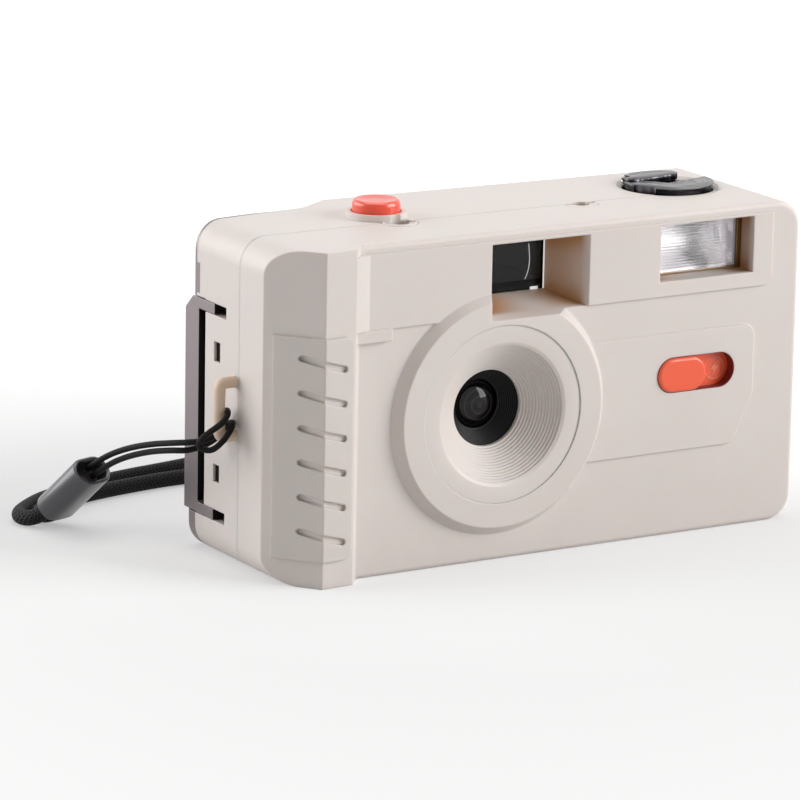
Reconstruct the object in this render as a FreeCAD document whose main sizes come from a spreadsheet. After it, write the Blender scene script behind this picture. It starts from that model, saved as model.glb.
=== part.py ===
import FreeCAD
import Part
import math
import os
import re
import Sketcher

# Reusable 35 mm film camera, in millimetres.
# +X runs along the body, +Y from the lens to the film door, +Z up; z = 0 is the face it stands on.

V = FreeCAD.Vector

SIZES = {
    # casing
    "body_width": 114.0, "body_height": 63.0, "corner_round": 5.2, "wall": 1.8, "edge_round": 1.0,
    "front_y": -18.0, "seam_y": -2.6, "rim_y": 13.7, "rear_y": 18.0, "rear_round": 2.4,
    # grip facets at the left front, measured from the left side
    "grip_side_y": -11.4, "grip_ridge_x": 7.7, "grip_ridge_y": -20.9, "grip_step_x": 14.3,
    "grip_step_y": -20.5, "grip_end_x": 16.4, "pad_low": 5.2, "pad_drop": 15.9, "pad_thick": 0.7,
    "pad_corner": 2.0, "groove_drop": 20.8, "groove_pitch": 6.5, "groove_width": 1.3, "groove_fall": 1.2, "groove_left": 4.1,
    "groove_right": 12.2,
    # raised panels on the front
    "panel_raise": 0.5, "panel_left": 18.0, "panel_drop": 16.0, "panel_edge": 1.7, "panel_side": 6.6,
    "lower_panel_left": 7.0, "lower_panel_side": 10.1, "lower_panel_low": 16.6, "lower_panel_high": 39.8,
    # lens
    "lens_x": -10.4, "lens_z": 28.5, "boss_base": 23.3, "boss_face": 21.6, "boss_rise": 2.1,
    "bezel_outer": 16.9, "bezel_gap": 0.1, "cone_rim": 13.6, "cone_hole": 7.3, "cone_back_y": -13.9,
    "bezel_back_y": -13.0, "lip_inner": 15.3, "lip_thick": 1.4, "collar_wall": 1.8, "cone_steps": 9,
    "barrel_outer": 8.6, "barrel_flange": 12.0, "barrel_steps": 6, "front_lens_r": 4.2,
    "front_lens_y": -9.4, "front_lens_thick": 1.9, "stop_r": 2.4, "blade_room": 0.8, "blade_room_r": 10.4,
    "shutter_plate_thick": 1.0, "aperture_r": 1.8, "blade_thick": 0.4, "blade_disc": 3.2,
    "blade_arm": 7.4, "rear_lens_r": 3.9, "rear_lens_thick": 1.3,
    # viewfinder
    "finder_left": -12.4, "finder_right": 8.6, "finder_drop": 16.0, "finder_edge": 2.5,
    "finder_in_left": -8.1, "finder_in_right": 4.8, "finder_in_drop": 14.0, "finder_in_edge": 4.7,
    "finder_depth": 9.0, "window_lap": 0.8, "window_thick": 1.0, "thin_wall": 1.2, "eyepiece_thick": 1.2,
    # flash
    "flash_side": 11.1, "flash_width": 21.2, "flash_edge": 2.2, "flash_height": 10.9, "flash_depth": 4.0,
    "flash_lens_thick": 1.4, "reflector_depth": 6.4, "reflector_back": 3.4, "sheet_metal": 0.5,
    "tube_radius": 1.2,
    # flash switch
    "slot_side": 14.6, "slot_width": 17.6, "slot_z": 31.5, "slot_height": 6.9, "switch_gap": 0.15,
    "switch_knob": 10.8, "switch_travel": 6.4, "carrier_thick": 1.2, "carrier_height": 8.8,
    "knob_proud": 0.6, "knob_soft": 0.6, "rail_lip": 0.9,
    # chassis and chambers
    "chassis_front": -4.5, "film_y": 11.0, "chassis_drop": 13.5, "chassis_gap": 0.3,
    "cassette_side": 16.1, "cassette_y": 4.0, "cassette_r": 12.75, "cassette_low": 8.0, "cassette_roof": 1.3,
    "hub_r": 4.2, "hub_low": 3.2, "chamber_wall": 0.9,
    "spool_side": 14.6, "spool_y": 4.4, "takeup_r": 9.2, "takeup_low": 10.0, "takeup_roof": 2.7,
    "core_r": 5.0, "flange_r": 8.6, "flange_thick": 1.0, "shaft_r": 2.0, "bearing_gap": 0.06,
    "gate_width": 36.4, "gate_height": 24.4, "tunnel_width": 16.0, "tunnel_height": 12.0,
    "sprocket_x": 16.5, "sprocket_r": 6.0, "tooth_rise": 1.2, "sprocket_well": 7.6,
    "perforation_span": 31.2, "drum_height": 2.4, "sprocket_shaft": 1.5,
    # thumb wheel
    "wheel_r": 12.4, "wheel_room": 0.6, "wheel_thick": 5.0, "wheel_gap": 0.35, "wheel_notch": 0.5,
    "recess_side_y": 14.4, "recess_in_y": 17.3, "recess_in_x": 24.0, "recess_end_x": 31.0,
    # top's brow over the rear frame
    "brow_left_y": 21.8, "brow_right_y": 18.2, "brow_edge": 0.7, "hump_inset": 0.5,
    # shutter button
    "button_side": 32.3, "button_y": 3.5, "cap_r": 4.55, "cap_rise": 3.4, "cap_dish": 0.25, "collar_r": 5.7,
    "collar_rise": 1.2, "button_gap": 0.2, "stem_r": 1.5, "stop_flange": 5.4,
    "stop_thick": 0.8, "stop_flat": 3.3, "guide_r": 3.4, "guide_rise": 3.0, "spring_outer": 2.8,
    "spring_inner": 1.7, "spring_thick": 0.35,
    # rewind
    "knob_r": 8.95, "knob_under": 0.3, "knob_rise": 0.75, "recess_r": 9.55, "recess_deep": 3.2,
    "recess_bevel": 0.3, "lip_bevel": 0.9, "lip_fall": 0.4, "shelf_thick": 1.2, "fork_r": 3.0, "fork_under": 0.6,
    "fork_long": 3.0, "prong": 1.0, "crank_sunk": 0.75, "crank_proud": 0.55, "crank_axis_x": 6.5,
    "crank_axis_deep": 0.4,
    "crank_gap": 0.15, "pin_r": 0.35,
    # screws
    "well_left_side": 33.5, "well_right_x": 16.3, "well_y": -3.3, "well_r": 1.8, "well_boss": 3.4,
    "well_deep": 6.0, "screw_r": 1.5, "seam_line": 0.2,
    # film door and hinge
    "door_side": 4.9, "door_low": 7.7, "door_under": 0.7, "door_gap": 0.3, "door_depth": 5.1,
    "door_skin": 1.2, "door_rim": 1.6, "door_bar": 3.0, "pivot_in": 3.3, "pivot_y": 8.0,
    "arm_thick": 2.0, "arm_front": 6.9, "arm_width": 2.5, "eye_r": 2.2, "hinge_pin": 0.8,
    "arm_slot_y": 2.4, "arm_room": 0.25, "door_chamfer": 2.0,
    "plate_width": 44.0, "plate_height": 32.0, "plate_thick": 0.8, "film_gap": 0.4, "leaf_half": 14.0,
    "leaf_foot": 9.0, "leaf_crest": 3.0, "leaf_height": 9.0, "leaf_thick": 0.35,
    # latch
    "latch_low": 24.0, "latch_high": 34.0, "latch_travel": 3.0, "latch_proud": 0.8,
    # battery bay
    "cell_x": 11.6, "cell_y": -11.75, "cell_r": 5.4, "cell_wall": 0.6, "cell_roof": 1.9,
    "cover_half": 5.9, "cover_near": 5.1, "cover_thick": 1.1, "cover_gap": 0.2, "cover_hinge": 0.85,
    "cover_pin": 0.4,
    # base button and electronics
    "release_r": 3.0, "release_travel": 1.2, "board_thick": 1.1, "capacitor_r": 4.2, "capacitor_long": 22.0,
    # strap lug
    "lug_y": -1.6, "lug_low": 24.6, "lug_high": 37.1, "lug_out": 4.4, "lug_bar": 1.7, "lug_width": 2.0,
    "lug_leg": 2.4, "lug_root": 1.8, "lug_soft": 0.5,
    # wrist strap
    "string_r": 0.7, "cord_r": 1.5, "sleeve_width": 8.8, "sleeve_thick": 5.8,
}

# places that follow other sizes: heights from the top of the casing, positions from its two ends
PLACES = {
    "pad_high": "body_height - pad_drop", "groove_top": "body_height - groove_drop",
    "panel_low": "body_height - panel_drop", "panel_high": "body_height - panel_edge",
    "panel_right": "body_width / 2 - panel_side", "lower_panel_right": "body_width / 2 - lower_panel_side",
    "finder_low": "body_height - finder_drop", "finder_high": "body_height - finder_edge",
    "finder_in_low": "body_height - finder_in_drop", "finder_in_high": "body_height - finder_in_edge",
    "flash_right": "body_width / 2 - flash_side", "flash_left": "flash_right - flash_width",
    "flash_high": "body_height - flash_edge", "flash_low": "flash_high - flash_height",
    "slot_right": "body_width / 2 - slot_side", "slot_left": "slot_right - slot_width",
    "chassis_top": "body_height - chassis_drop", "cassette_x": "body_width / 2 - cassette_side",
    "cassette_high": "chassis_top - cassette_roof", "spool_x": "spool_side - body_width / 2",
    "takeup_high": "chassis_top - takeup_roof", "wheel_low": "chassis_top + wheel_room",
    "wheel_high": "wheel_low + wheel_thick", "button_x": "button_side - body_width / 2",
    "cap_top": "body_height + cap_rise", "collar_top": "body_height + collar_rise",
    "guide_high": "chassis_top + guide_rise", "knob_top": "body_height + knob_rise",
    "recess_low": "body_height - recess_deep", "knob_low": "recess_low + knob_under",
    "shelf_low": "recess_low - shelf_thick", "fork_high": "cassette_high - fork_under",
    "fork_low": "fork_high - fork_long", "crank_low": "knob_top - crank_sunk",
    "crank_high": "knob_top + crank_proud", "crank_axis_z": "knob_top - crank_axis_deep",
    "well_left_x": "well_left_side - body_width / 2", "door_right": "body_width / 2 - door_side",
    "door_high": "chassis_top - door_under", "cell_high": "chassis_top - cell_roof",
}

doc = FreeCAD.newDocument("film_camera")
sheet = doc.addObject("Spreadsheet::Sheet", "dims")
for row, (alias, number) in enumerate(SIZES.items(), start=1):
    sheet.set("A%d" % row, alias)
    sheet.set("B%d" % row, str(number))
    sheet.setAlias("B%d" % row, alias)
doc.recompute()

WORD = re.compile(r"[a-z_]+")
LEFT = "(-body_width / 2)"
RIGHT = "(body_width / 2)"
NODES = {}


def spelled(found):
    """A named place as the formula behind it, and any other name as its cell in the sheet."""
    name = found.group(0)
    return "(" + WORD.sub(spelled, PLACES[name]) + ")" if name in PLACES else "dims." + name


def bind(item, prop, text):
    """Ties a property to a formula of named sizes and places."""
    item.setExpression(prop, WORD.sub(spelled, text))


def place(item, x="0", y="0", z="0"):
    """Puts a shape's corner or axis at a point given by formulas."""
    bind(item, "Placement.Base.x", x)
    bind(item, "Placement.Base.y", y)
    bind(item, "Placement.Base.z", z)


def turn_to(item, axis):
    """Lays a shape's own Z along the named axis."""
    turns = {"z": FreeCAD.Rotation(), "y": FreeCAD.Rotation(V(1, 0, 0), -90), "x": FreeCAD.Rotation(V(0, 1, 0), 90)}
    item.Placement = FreeCAD.Placement(V(), turns[axis])


def place_on(item, axis, centre, low):
    """Puts a round shape on an axis: centre is its two other coordinates, low its start."""
    turn_to(item, axis)
    if axis == "z":
        place(item, centre[0], centre[1], low)
    elif axis == "y":
        place(item, centre[0], low, centre[1])
    else:
        place(item, low, centre[0], centre[1])


def block(name, x, y, z):
    """Box between two formulas on each axis."""
    item = doc.addObject("Part::Box", name)
    place(item, x[0], y[0], z[0])
    for prop, span in (("Length", x), ("Width", y), ("Height", z)):
        bind(item, prop, "%s - (%s)" % (span[1], span[0]))
    return item


def rod(name, axis, centre, low, high, radius):
    """Cylinder along an axis."""
    item = doc.addObject("Part::Cylinder", name)
    place_on(item, axis, centre, low)
    bind(item, "Radius", radius)
    bind(item, "Height", "%s - (%s)" % (high, low))
    return item


def taper(name, axis, centre, low, high, low_radius, high_radius):
    """Cone along an axis."""
    item = doc.addObject("Part::Cone", name)
    place_on(item, axis, centre, low)
    bind(item, "Radius1", low_radius)
    bind(item, "Radius2", high_radius)
    bind(item, "Height", "%s - (%s)" % (high, low))
    return item


def funnel(name, y, near, far):
    """Rectangular taper along Y: near and far are (left, right, low, high) at its two ends."""
    item = doc.addObject("Part::Wedge", name)
    ends = {"Ymin": y[0], "Ymax": y[1], "Xmin": near[0], "Xmax": near[1], "Zmin": near[2], "Zmax": near[3],
            "X2min": far[0], "X2max": far[1], "Z2min": far[2], "Z2max": far[3]}
    for prop, text in ends.items():
        bind(item, prop, text)
    return item


def polygon(body, plane, points):
    """Sketch of a closed polygon on one of the body's own planes, each corner tied to its formulas."""
    sketch = body.newObject("Sketcher::SketchObject", body.Name + "_outline")
    support = [item for item in body.Origin.OriginFeatures if item.Role == plane][0]
    sketch.AttachmentSupport = [(support, "")]
    sketch.MapMode = "FlatFace"
    count = len(points)
    for index in range(count):
        here = 2 * math.pi * index / count
        there = 2 * math.pi * (index + 1) / count
        start = V(math.cos(here), math.sin(here), 0)
        sketch.addGeometry(Part.LineSegment(start, V(math.cos(there), math.sin(there), 0)))
    for index in range(count):
        sketch.addConstraint(Sketcher.Constraint("Coincident", index, 2, (index + 1) % count, 1))
    for index, point in enumerate(points):
        for kind, text in zip(("DistanceX", "DistanceY"), point):
            number = sketch.addConstraint(Sketcher.Constraint(kind, -1, 1, index, 1, 1.0))
            bind(sketch, "Constraints[%d]" % number, text)
    return sketch


def prism(name, plane, points, low, high, rounds=None):
    """Straight body of a polygon outline between two heights; rounds gives a radius and its corners."""
    body = doc.addObject("PartDesign::Body", name)
    sketch = polygon(body, plane, points)
    backward = plane == "XZ_Plane"
    bind(sketch, ".AttachmentOffset.Base.z", "-(%s)" % low if backward else low)
    pad = body.newObject("PartDesign::Pad", name + "_pad")
    pad.Profile = sketch
    pad.Reversed = backward
    bind(pad, "Length", "%s - (%s)" % (high, low))
    if rounds:
        doc.recompute()
        radius, corners = rounds
        spots = [sketch.Placement.multVec(sketch.Geometry[index].StartPoint) for index in corners]
        along = {"XY_Plane": V(0, 0, 1), "XZ_Plane": V(0, 1, 0), "YZ_Plane": V(1, 0, 0)}[plane]
        names = ["Edge%d" % (number + 1) for number, edge in enumerate(pad.Shape.Edges)
                 if any(abs((edge.CenterOfMass - spot).cross(along).Length) < 0.001 for spot in spots)]
        fillet = body.newObject("PartDesign::Fillet", name + "_rounds")
        fillet.Base = (pad, names)
        bind(fillet, "Radius", radius)
    return body


def turned(name, axis, centre, points):
    """Body turned about an axis from (radius, position) corners."""
    body = doc.addObject("PartDesign::Body", name)
    sketch = polygon(body, "XZ_Plane", points)
    revolution = body.newObject("PartDesign::Revolution", name + "_turn")
    revolution.Profile = sketch
    revolution.ReferenceAxis = (sketch, ["V_Axis"])
    revolution.Angle = 360.0
    place_on(body, axis, centre, "0")
    return body


def join(name, *items):
    """Union of shapes."""
    item = doc.addObject("Part::MultiFuse", name)
    item.Shapes = list(items)
    item.Refine = True
    return item


def cut(name, base, *tools):
    """Shape less its cutters."""
    item = doc.addObject("Part::Cut", name)
    item.Base = base
    item.Tool = tools[0] if len(tools) == 1 else join(name + "_cutters", *tools)
    item.Refine = True
    return item


def common(name, first, second):
    """What two shapes share."""
    item = doc.addObject("Part::Common", name)
    item.Base = first
    item.Tool = second
    item.Refine = True
    return item


def rounded(name, base, radius, wanted):
    """Fillet of the edges that a test picks from the finished shape."""
    doc.recompute()
    item = doc.addObject("Part::Fillet", name)
    item.Base = base
    size = SIZES[radius]
    item.Edges = [(number + 1, size, size) for number, edge in enumerate(base.Shape.Edges) if wanted(edge)]
    return item


def node(name, item):
    """Names a finished piece."""
    item.Label = name
    NODES[name] = item
    return item


def frame_outline(name, low, high, inset="0"):
    """The casing's rounded rectangle, pulled in by inset, between two depths."""
    points = [(LEFT + " + " + inset, inset), (RIGHT + " - " + inset, inset),
              (RIGHT + " - " + inset, "body_height - " + inset), (LEFT + " + " + inset, "body_height - " + inset)]
    return prism(name, "XZ_Plane", points, low, high, ("corner_round - %s" % inset, (0, 1, 2, 3)))


def slot_shape(name, left, right, middle, height, low, high):
    """Stadium through the front, its ends round."""
    half = "(%s) / 2" % height
    bar = block(name + "_bar", (left + " + " + half, right + " - " + half), (low, high),
                (middle + " - " + half, middle + " + " + half))
    first = rod(name + "_first", "y", (left + " + " + half, middle), low, high, half)
    second = rod(name + "_second", "y", (right + " - " + half, middle), low, high, half)
    return join(name, bar, first, second)


def grip_points(inset):
    """Plan of the front with its two grip facets, pulled in by inset."""
    return [(LEFT + " + " + inset, "seam_y"), (LEFT + " + " + inset, "grip_side_y + 0.37 * (%s)" % inset),
            (LEFT + " + grip_ridge_x + 0.45 * (%s)" % inset, "grip_ridge_y + " + inset),
            (LEFT + " + grip_step_x - 0.4 * (%s)" % inset, "grip_step_y + " + inset),
            (LEFT + " + grip_end_x - 0.4 * (%s)" % inset, "front_y + " + inset),
            (RIGHT + " - " + inset, "front_y + " + inset), (RIGHT + " - " + inset, "seam_y")]


def front_cover():
    """Front shell: faceted grip, raised panels, lens boss, viewfinder and flash recesses."""
    ahead = "grip_ridge_y - 2"
    plan = prism("cover_plan", "XY_Plane", grip_points("0"), "0", "body_height")
    shell = common("cover_outer", frame_outline("cover_face", ahead, "seam_y"), plan)
    shell = rounded("cover_soft", shell, "edge_round", is_front_edge)
    hollow_plan = prism("cover_hollow_plan", "XY_Plane", grip_points("wall"), "0", "body_height")
    hollow = common("cover_hollow", frame_outline("cover_hollow_face", ahead, "seam_y + 1", "wall"), hollow_plan)
    lens = ("lens_x", "lens_z")
    face = "(front_y - boss_rise)"
    boss = taper("lens_boss", "y", lens, face, "front_y + wall", "boss_face",
                 "boss_base + (boss_base - boss_face) * wall / boss_rise")
    collar = rod("lens_collar", "y", lens, "front_y", "bezel_back_y + lip_thick",
                 "bezel_outer + bezel_gap + collar_wall")
    panel = prism("upper_panel", "XZ_Plane",
                  [(LEFT + " + panel_left", "panel_low"), ("panel_right", "panel_low"),
                   ("panel_right", "panel_high"), (LEFT + " + panel_left", "panel_high")],
                  "front_y - panel_raise", "front_y + 0.5", ("2.2 * panel_raise + 0.9", (1,)))
    lower = prism("lower_panel", "XZ_Plane",
                  [("lower_panel_left", "lower_panel_low"), ("lower_panel_right - 4.5", "lower_panel_low"),
                   ("lower_panel_right", "lower_panel_low + 9.5"), ("lower_panel_right", "lower_panel_high"),
                   ("lower_panel_left", "lower_panel_high")],
                  "front_y - panel_raise * 0.8", "front_y + 0.5", ("2.4", (1, 2, 3)))
    ramp = prism("grip_ramp", "XY_Plane",
                 [(LEFT + " + grip_step_x", "grip_step_y"),
                  (LEFT + " + panel_left", "front_y - panel_raise - 0.3"),
                  (LEFT + " + panel_left", "front_y + 0.5"), (LEFT + " + grip_step_x", "front_y + 0.5")],
                 "panel_low + 0.2", "panel_high")
    ledge = block("grip_ledge", (LEFT + " + grip_end_x - 1.4", LEFT + " + panel_left + 4.8"),
                  ("front_y - panel_raise - 0.7", "front_y + 0.5"), ("panel_low - 2.1", "panel_low + 0.2"))
    tunnel = funnel("finder_walls", ("front_y + 0.5", "front_y + finder_depth"),
                    ("finder_left - thin_wall", "finder_right + thin_wall", "finder_low - thin_wall",
                     "finder_high + 0.6"),
                    ("finder_in_left - thin_wall", "finder_in_right + thin_wall", "finder_in_low - thin_wall",
                     "finder_in_high + thin_wall"))
    tray = block("flash_tray", ("flash_left - thin_wall", "flash_right + thin_wall"),
                 ("front_y + 0.5", "front_y + flash_depth + flash_lens_thick"),
                 ("flash_low - thin_wall", "body_height - 1"))
    behind = "front_y + wall + carrier_thick + switch_gap"
    rails = []
    for side, sign in (("low", "-"), ("high", "+")):
        edge = "slot_z %s (carrier_height / 2 + switch_gap)" % sign
        outer = "slot_z %s (carrier_height / 2 + switch_gap + 1)" % sign
        inner = "slot_z %s (carrier_height / 2 - rail_lip)" % sign
        span = ("slot_left - switch_travel - 1", "slot_right + switch_travel + 2")
        first, second = (outer, edge) if sign == "-" else (edge, outer)
        rails.append(block("rail_" + side, span, ("front_y + 1", behind + " + 0.9"), (first, second)))
        first, second = (outer, inner) if sign == "-" else (inner, outer)
        rails.append(block("rail_lip_" + side, span, (behind, behind + " + 0.9"), (first, second)))
    well = []
    for side, x in (("left", "well_left_x"), ("right", "well_right_x")):
        well.append(rod("well_room_" + side, "z", (x, "well_y"), "body_height - wall - well_deep - 1",
                        "body_height + 1", "well_boss + 0.05"))
    cell = ("%s + cell_x" % LEFT, "cell_y")
    hinge_x = "%s + cell_x + cover_half + cover_hinge" % LEFT
    cuts = [rod("boss_bore", "y", lens, face + " - 1", "bezel_back_y", "bezel_outer + bezel_gap"),
            rod("boss_lip", "y", lens, "bezel_back_y - 1", "bezel_back_y + lip_thick + 1", "lip_inner"),
            funnel("finder_mouth", ("front_y - 4", "front_y + finder_depth + 0.1"),
                   ("finder_left - 0.45 * (finder_in_left - finder_left)",
                    "finder_right + 0.45 * (finder_right - finder_in_right)",
                    "finder_low - 0.45 * (finder_in_low - finder_low)",
                    "finder_high + 0.45 * (finder_high - finder_in_high)"),
                   ("finder_in_left", "finder_in_right", "finder_in_low", "finder_in_high")),
            block("flash_mouth", ("flash_left", "flash_right"),
                  ("front_y - 3", "front_y + flash_depth + flash_lens_thick - 0.4"), ("flash_low", "flash_high")),
            block("flash_seat", ("flash_left + 0.5", "flash_right - 0.5"),
                  ("front_y", "front_y + flash_depth + flash_lens_thick + 1"), ("flash_low + 0.4", "flash_high - 0.4")),
            slot_shape("switch_slot", "slot_left", "slot_right", "slot_z", "slot_height", "front_y - 3",
                       "front_y + wall + 1"),
            rod("cell_mouth", "z", cell, "-1", "wall + 1", "cell_r + 0.05"),
            cover_plan("cover_seat", "cover_gap", "-1", "cover_thick + 0.15"),
            rod("front_knob_recess", "z", ("cassette_x", "cassette_y"), "recess_low", "body_height + 1", "recess_r"),
            taper("front_knob_bevel", "z", ("cassette_x", "cassette_y"), "body_height - lip_fall",
                  "body_height + lip_fall", "recess_r", "recess_r + lip_bevel * 2"),
            block("cover_knuckle_room", (hinge_x + " - 1.2", hinge_x + " + 1.2"),
                  ("cell_y - cover_near - cover_gap", "cell_y + cover_half + cover_gap"), ("-1", "wall + 1"))]
    base = join("cover_full", shell, boss, panel, lower, ramp, ledge)
    shelf = block("front_shelf", ("cassette_x - recess_r - 1.2", "cassette_x + recess_r + 1.2"),
                  ("cassette_y - recess_r - 1.2", "seam_y"), ("shelf_low", "body_height - 1"))
    walls = join("cover_inner_walls", collar, tunnel, tray, shelf, *rails)
    hollowed = cut("cover_hollowed", base, hollow)
    trimmed = common("cover_walls_trimmed", walls, common("cover_bulk", frame_outline(
        "cover_limit", "front_y - boss_rise", "seam_y"), block(
        "cover_limit_box", (LEFT, RIGHT), ("front_y - boss_rise", "seam_y"), ("0", "body_height"))))
    whole = join("cover_whole", hollowed, trimmed)
    pin_hole = rod("cover_pin_hole", "y", (hinge_x, "cover_hinge + 0.45"), "cell_y - cover_near - cover_gap - 0.5",
                   "cell_y + cover_half + cover_gap + 0.9", "cover_pin + 0.02")
    return node("front_cover", cut("front_cover", whole, pin_hole, *(cuts + well)))


def cover_plan(name, gap, low, high):
    """Battery cover's outline in plan, widened by a gap, between two heights."""
    near = "cell_y - cover_near - (%s)" % gap
    far = "cell_y + cover_half + " + gap
    left = "%s + cell_x - cover_half - (%s)" % (LEFT, gap)
    hinge = "%s + cell_x + cover_half + cover_hinge" % LEFT
    return prism(name, "XY_Plane", [(left, near + " + 3.2"), (left + " + 2.8", near), (hinge, near), (hinge, far),
                                    (left, far)], low, high)


def is_front_edge(edge):
    """Outline edges of the front faces, where they meet the sides, top and bottom."""
    box = edge.BoundBox
    width = SIZES["body_width"] / 2
    high = SIZES["body_height"]
    ahead = box.YMax < SIZES["grip_side_y"] + 0.01
    at_top = box.ZMin > high - SIZES["corner_round"] - 0.01
    at_base = box.ZMax < SIZES["corner_round"] + 0.01
    at_right = box.XMin > width - SIZES["corner_round"] - 0.01
    in_front = box.YMax - box.YMin < 0.01 and abs(box.YMin - SIZES["front_y"]) < 0.01
    return ahead and in_front and (at_top or at_base or at_right)


def grip_pad():
    """Raised pad that wraps the two grip facets, with slanted grooves."""
    slope = "(grip_side_y - grip_ridge_y) / grip_ridge_x"
    pts = [(LEFT + " + 1.2", "grip_side_y - 1.2 * " + slope),
           (LEFT + " + grip_ridge_x", "grip_ridge_y"),
           (LEFT + " + grip_step_x - 0.5", "grip_step_y - 0.0303"),
           (LEFT + " + grip_step_x - 0.7", "grip_step_y - pad_thick"),
           (LEFT + " + grip_ridge_x - 0.45 * pad_thick", "grip_ridge_y - pad_thick"),
           (LEFT + " + 1.2 - 0.5 * pad_thick", "grip_side_y - 1.2 * %s - 0.9 * pad_thick" % slope)]
    end = LEFT + " + grip_step_x - 0.5"
    outline = prism("pad_outline", "XZ_Plane", [(LEFT, "pad_low"), (end, "pad_low"), (end, "pad_high"), (LEFT, "pad_high")],
                    "grip_ridge_y - 2", "grip_side_y + 1", ("pad_corner", (1, 2)))
    pad = common("pad_body", prism("pad_blank", "XY_Plane", pts, "pad_low", "pad_high"), outline)
    cuts = []
    for index in range(6):
        left_z = "(groove_top - %d * groove_pitch + groove_fall)" % index
        right_z = "(groove_top - %d * groove_pitch - groove_fall)" % index
        half = "groove_width / 2"
        cuts.append(prism("groove_%d" % index, "XZ_Plane",
                          [(LEFT + " + groove_left", left_z + " - " + half),
                           (LEFT + " + groove_right", right_z + " - " + half),
                           (LEFT + " + groove_right", right_z + " + " + half),
                           (LEFT + " + groove_left", left_z + " + " + half)],
                          "grip_ridge_y - 2", "grip_side_y", ("groove_width * 0.45", (0, 1, 2, 3))))
    return node("grip_pad", cut("grip_pad", pad, *cuts))


def brow_plan(name, edge, low, high):
    """Plan of the top behind the rim: it follows the thumb recess, then runs along the rear."""
    return prism(name, "XY_Plane",
                 [(LEFT, "rim_y"), (LEFT, "rim_y + 0.01"), (LEFT + " + recess_in_x", "recess_in_y - (%s)" % edge),
                  (LEFT + " + recess_end_x", "brow_left_y - (%s)" % edge), (RIGHT, "brow_right_y - (%s)" % edge),
                  (RIGHT, "rim_y")], low, high)


def top_brow(name):
    """Part of the casing's shell that reaches back over the rear frame."""
    ring = cut(name + "_ring", frame_outline(name + "_outer", "rim_y", "brow_left_y"),
               frame_outline(name + "_inner", "rim_y - 1", "brow_left_y + 1", "wall"))
    return common(name, ring, brow_plan(name + "_plan", "brow_edge", "body_height - corner_round", "body_height"))


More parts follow.
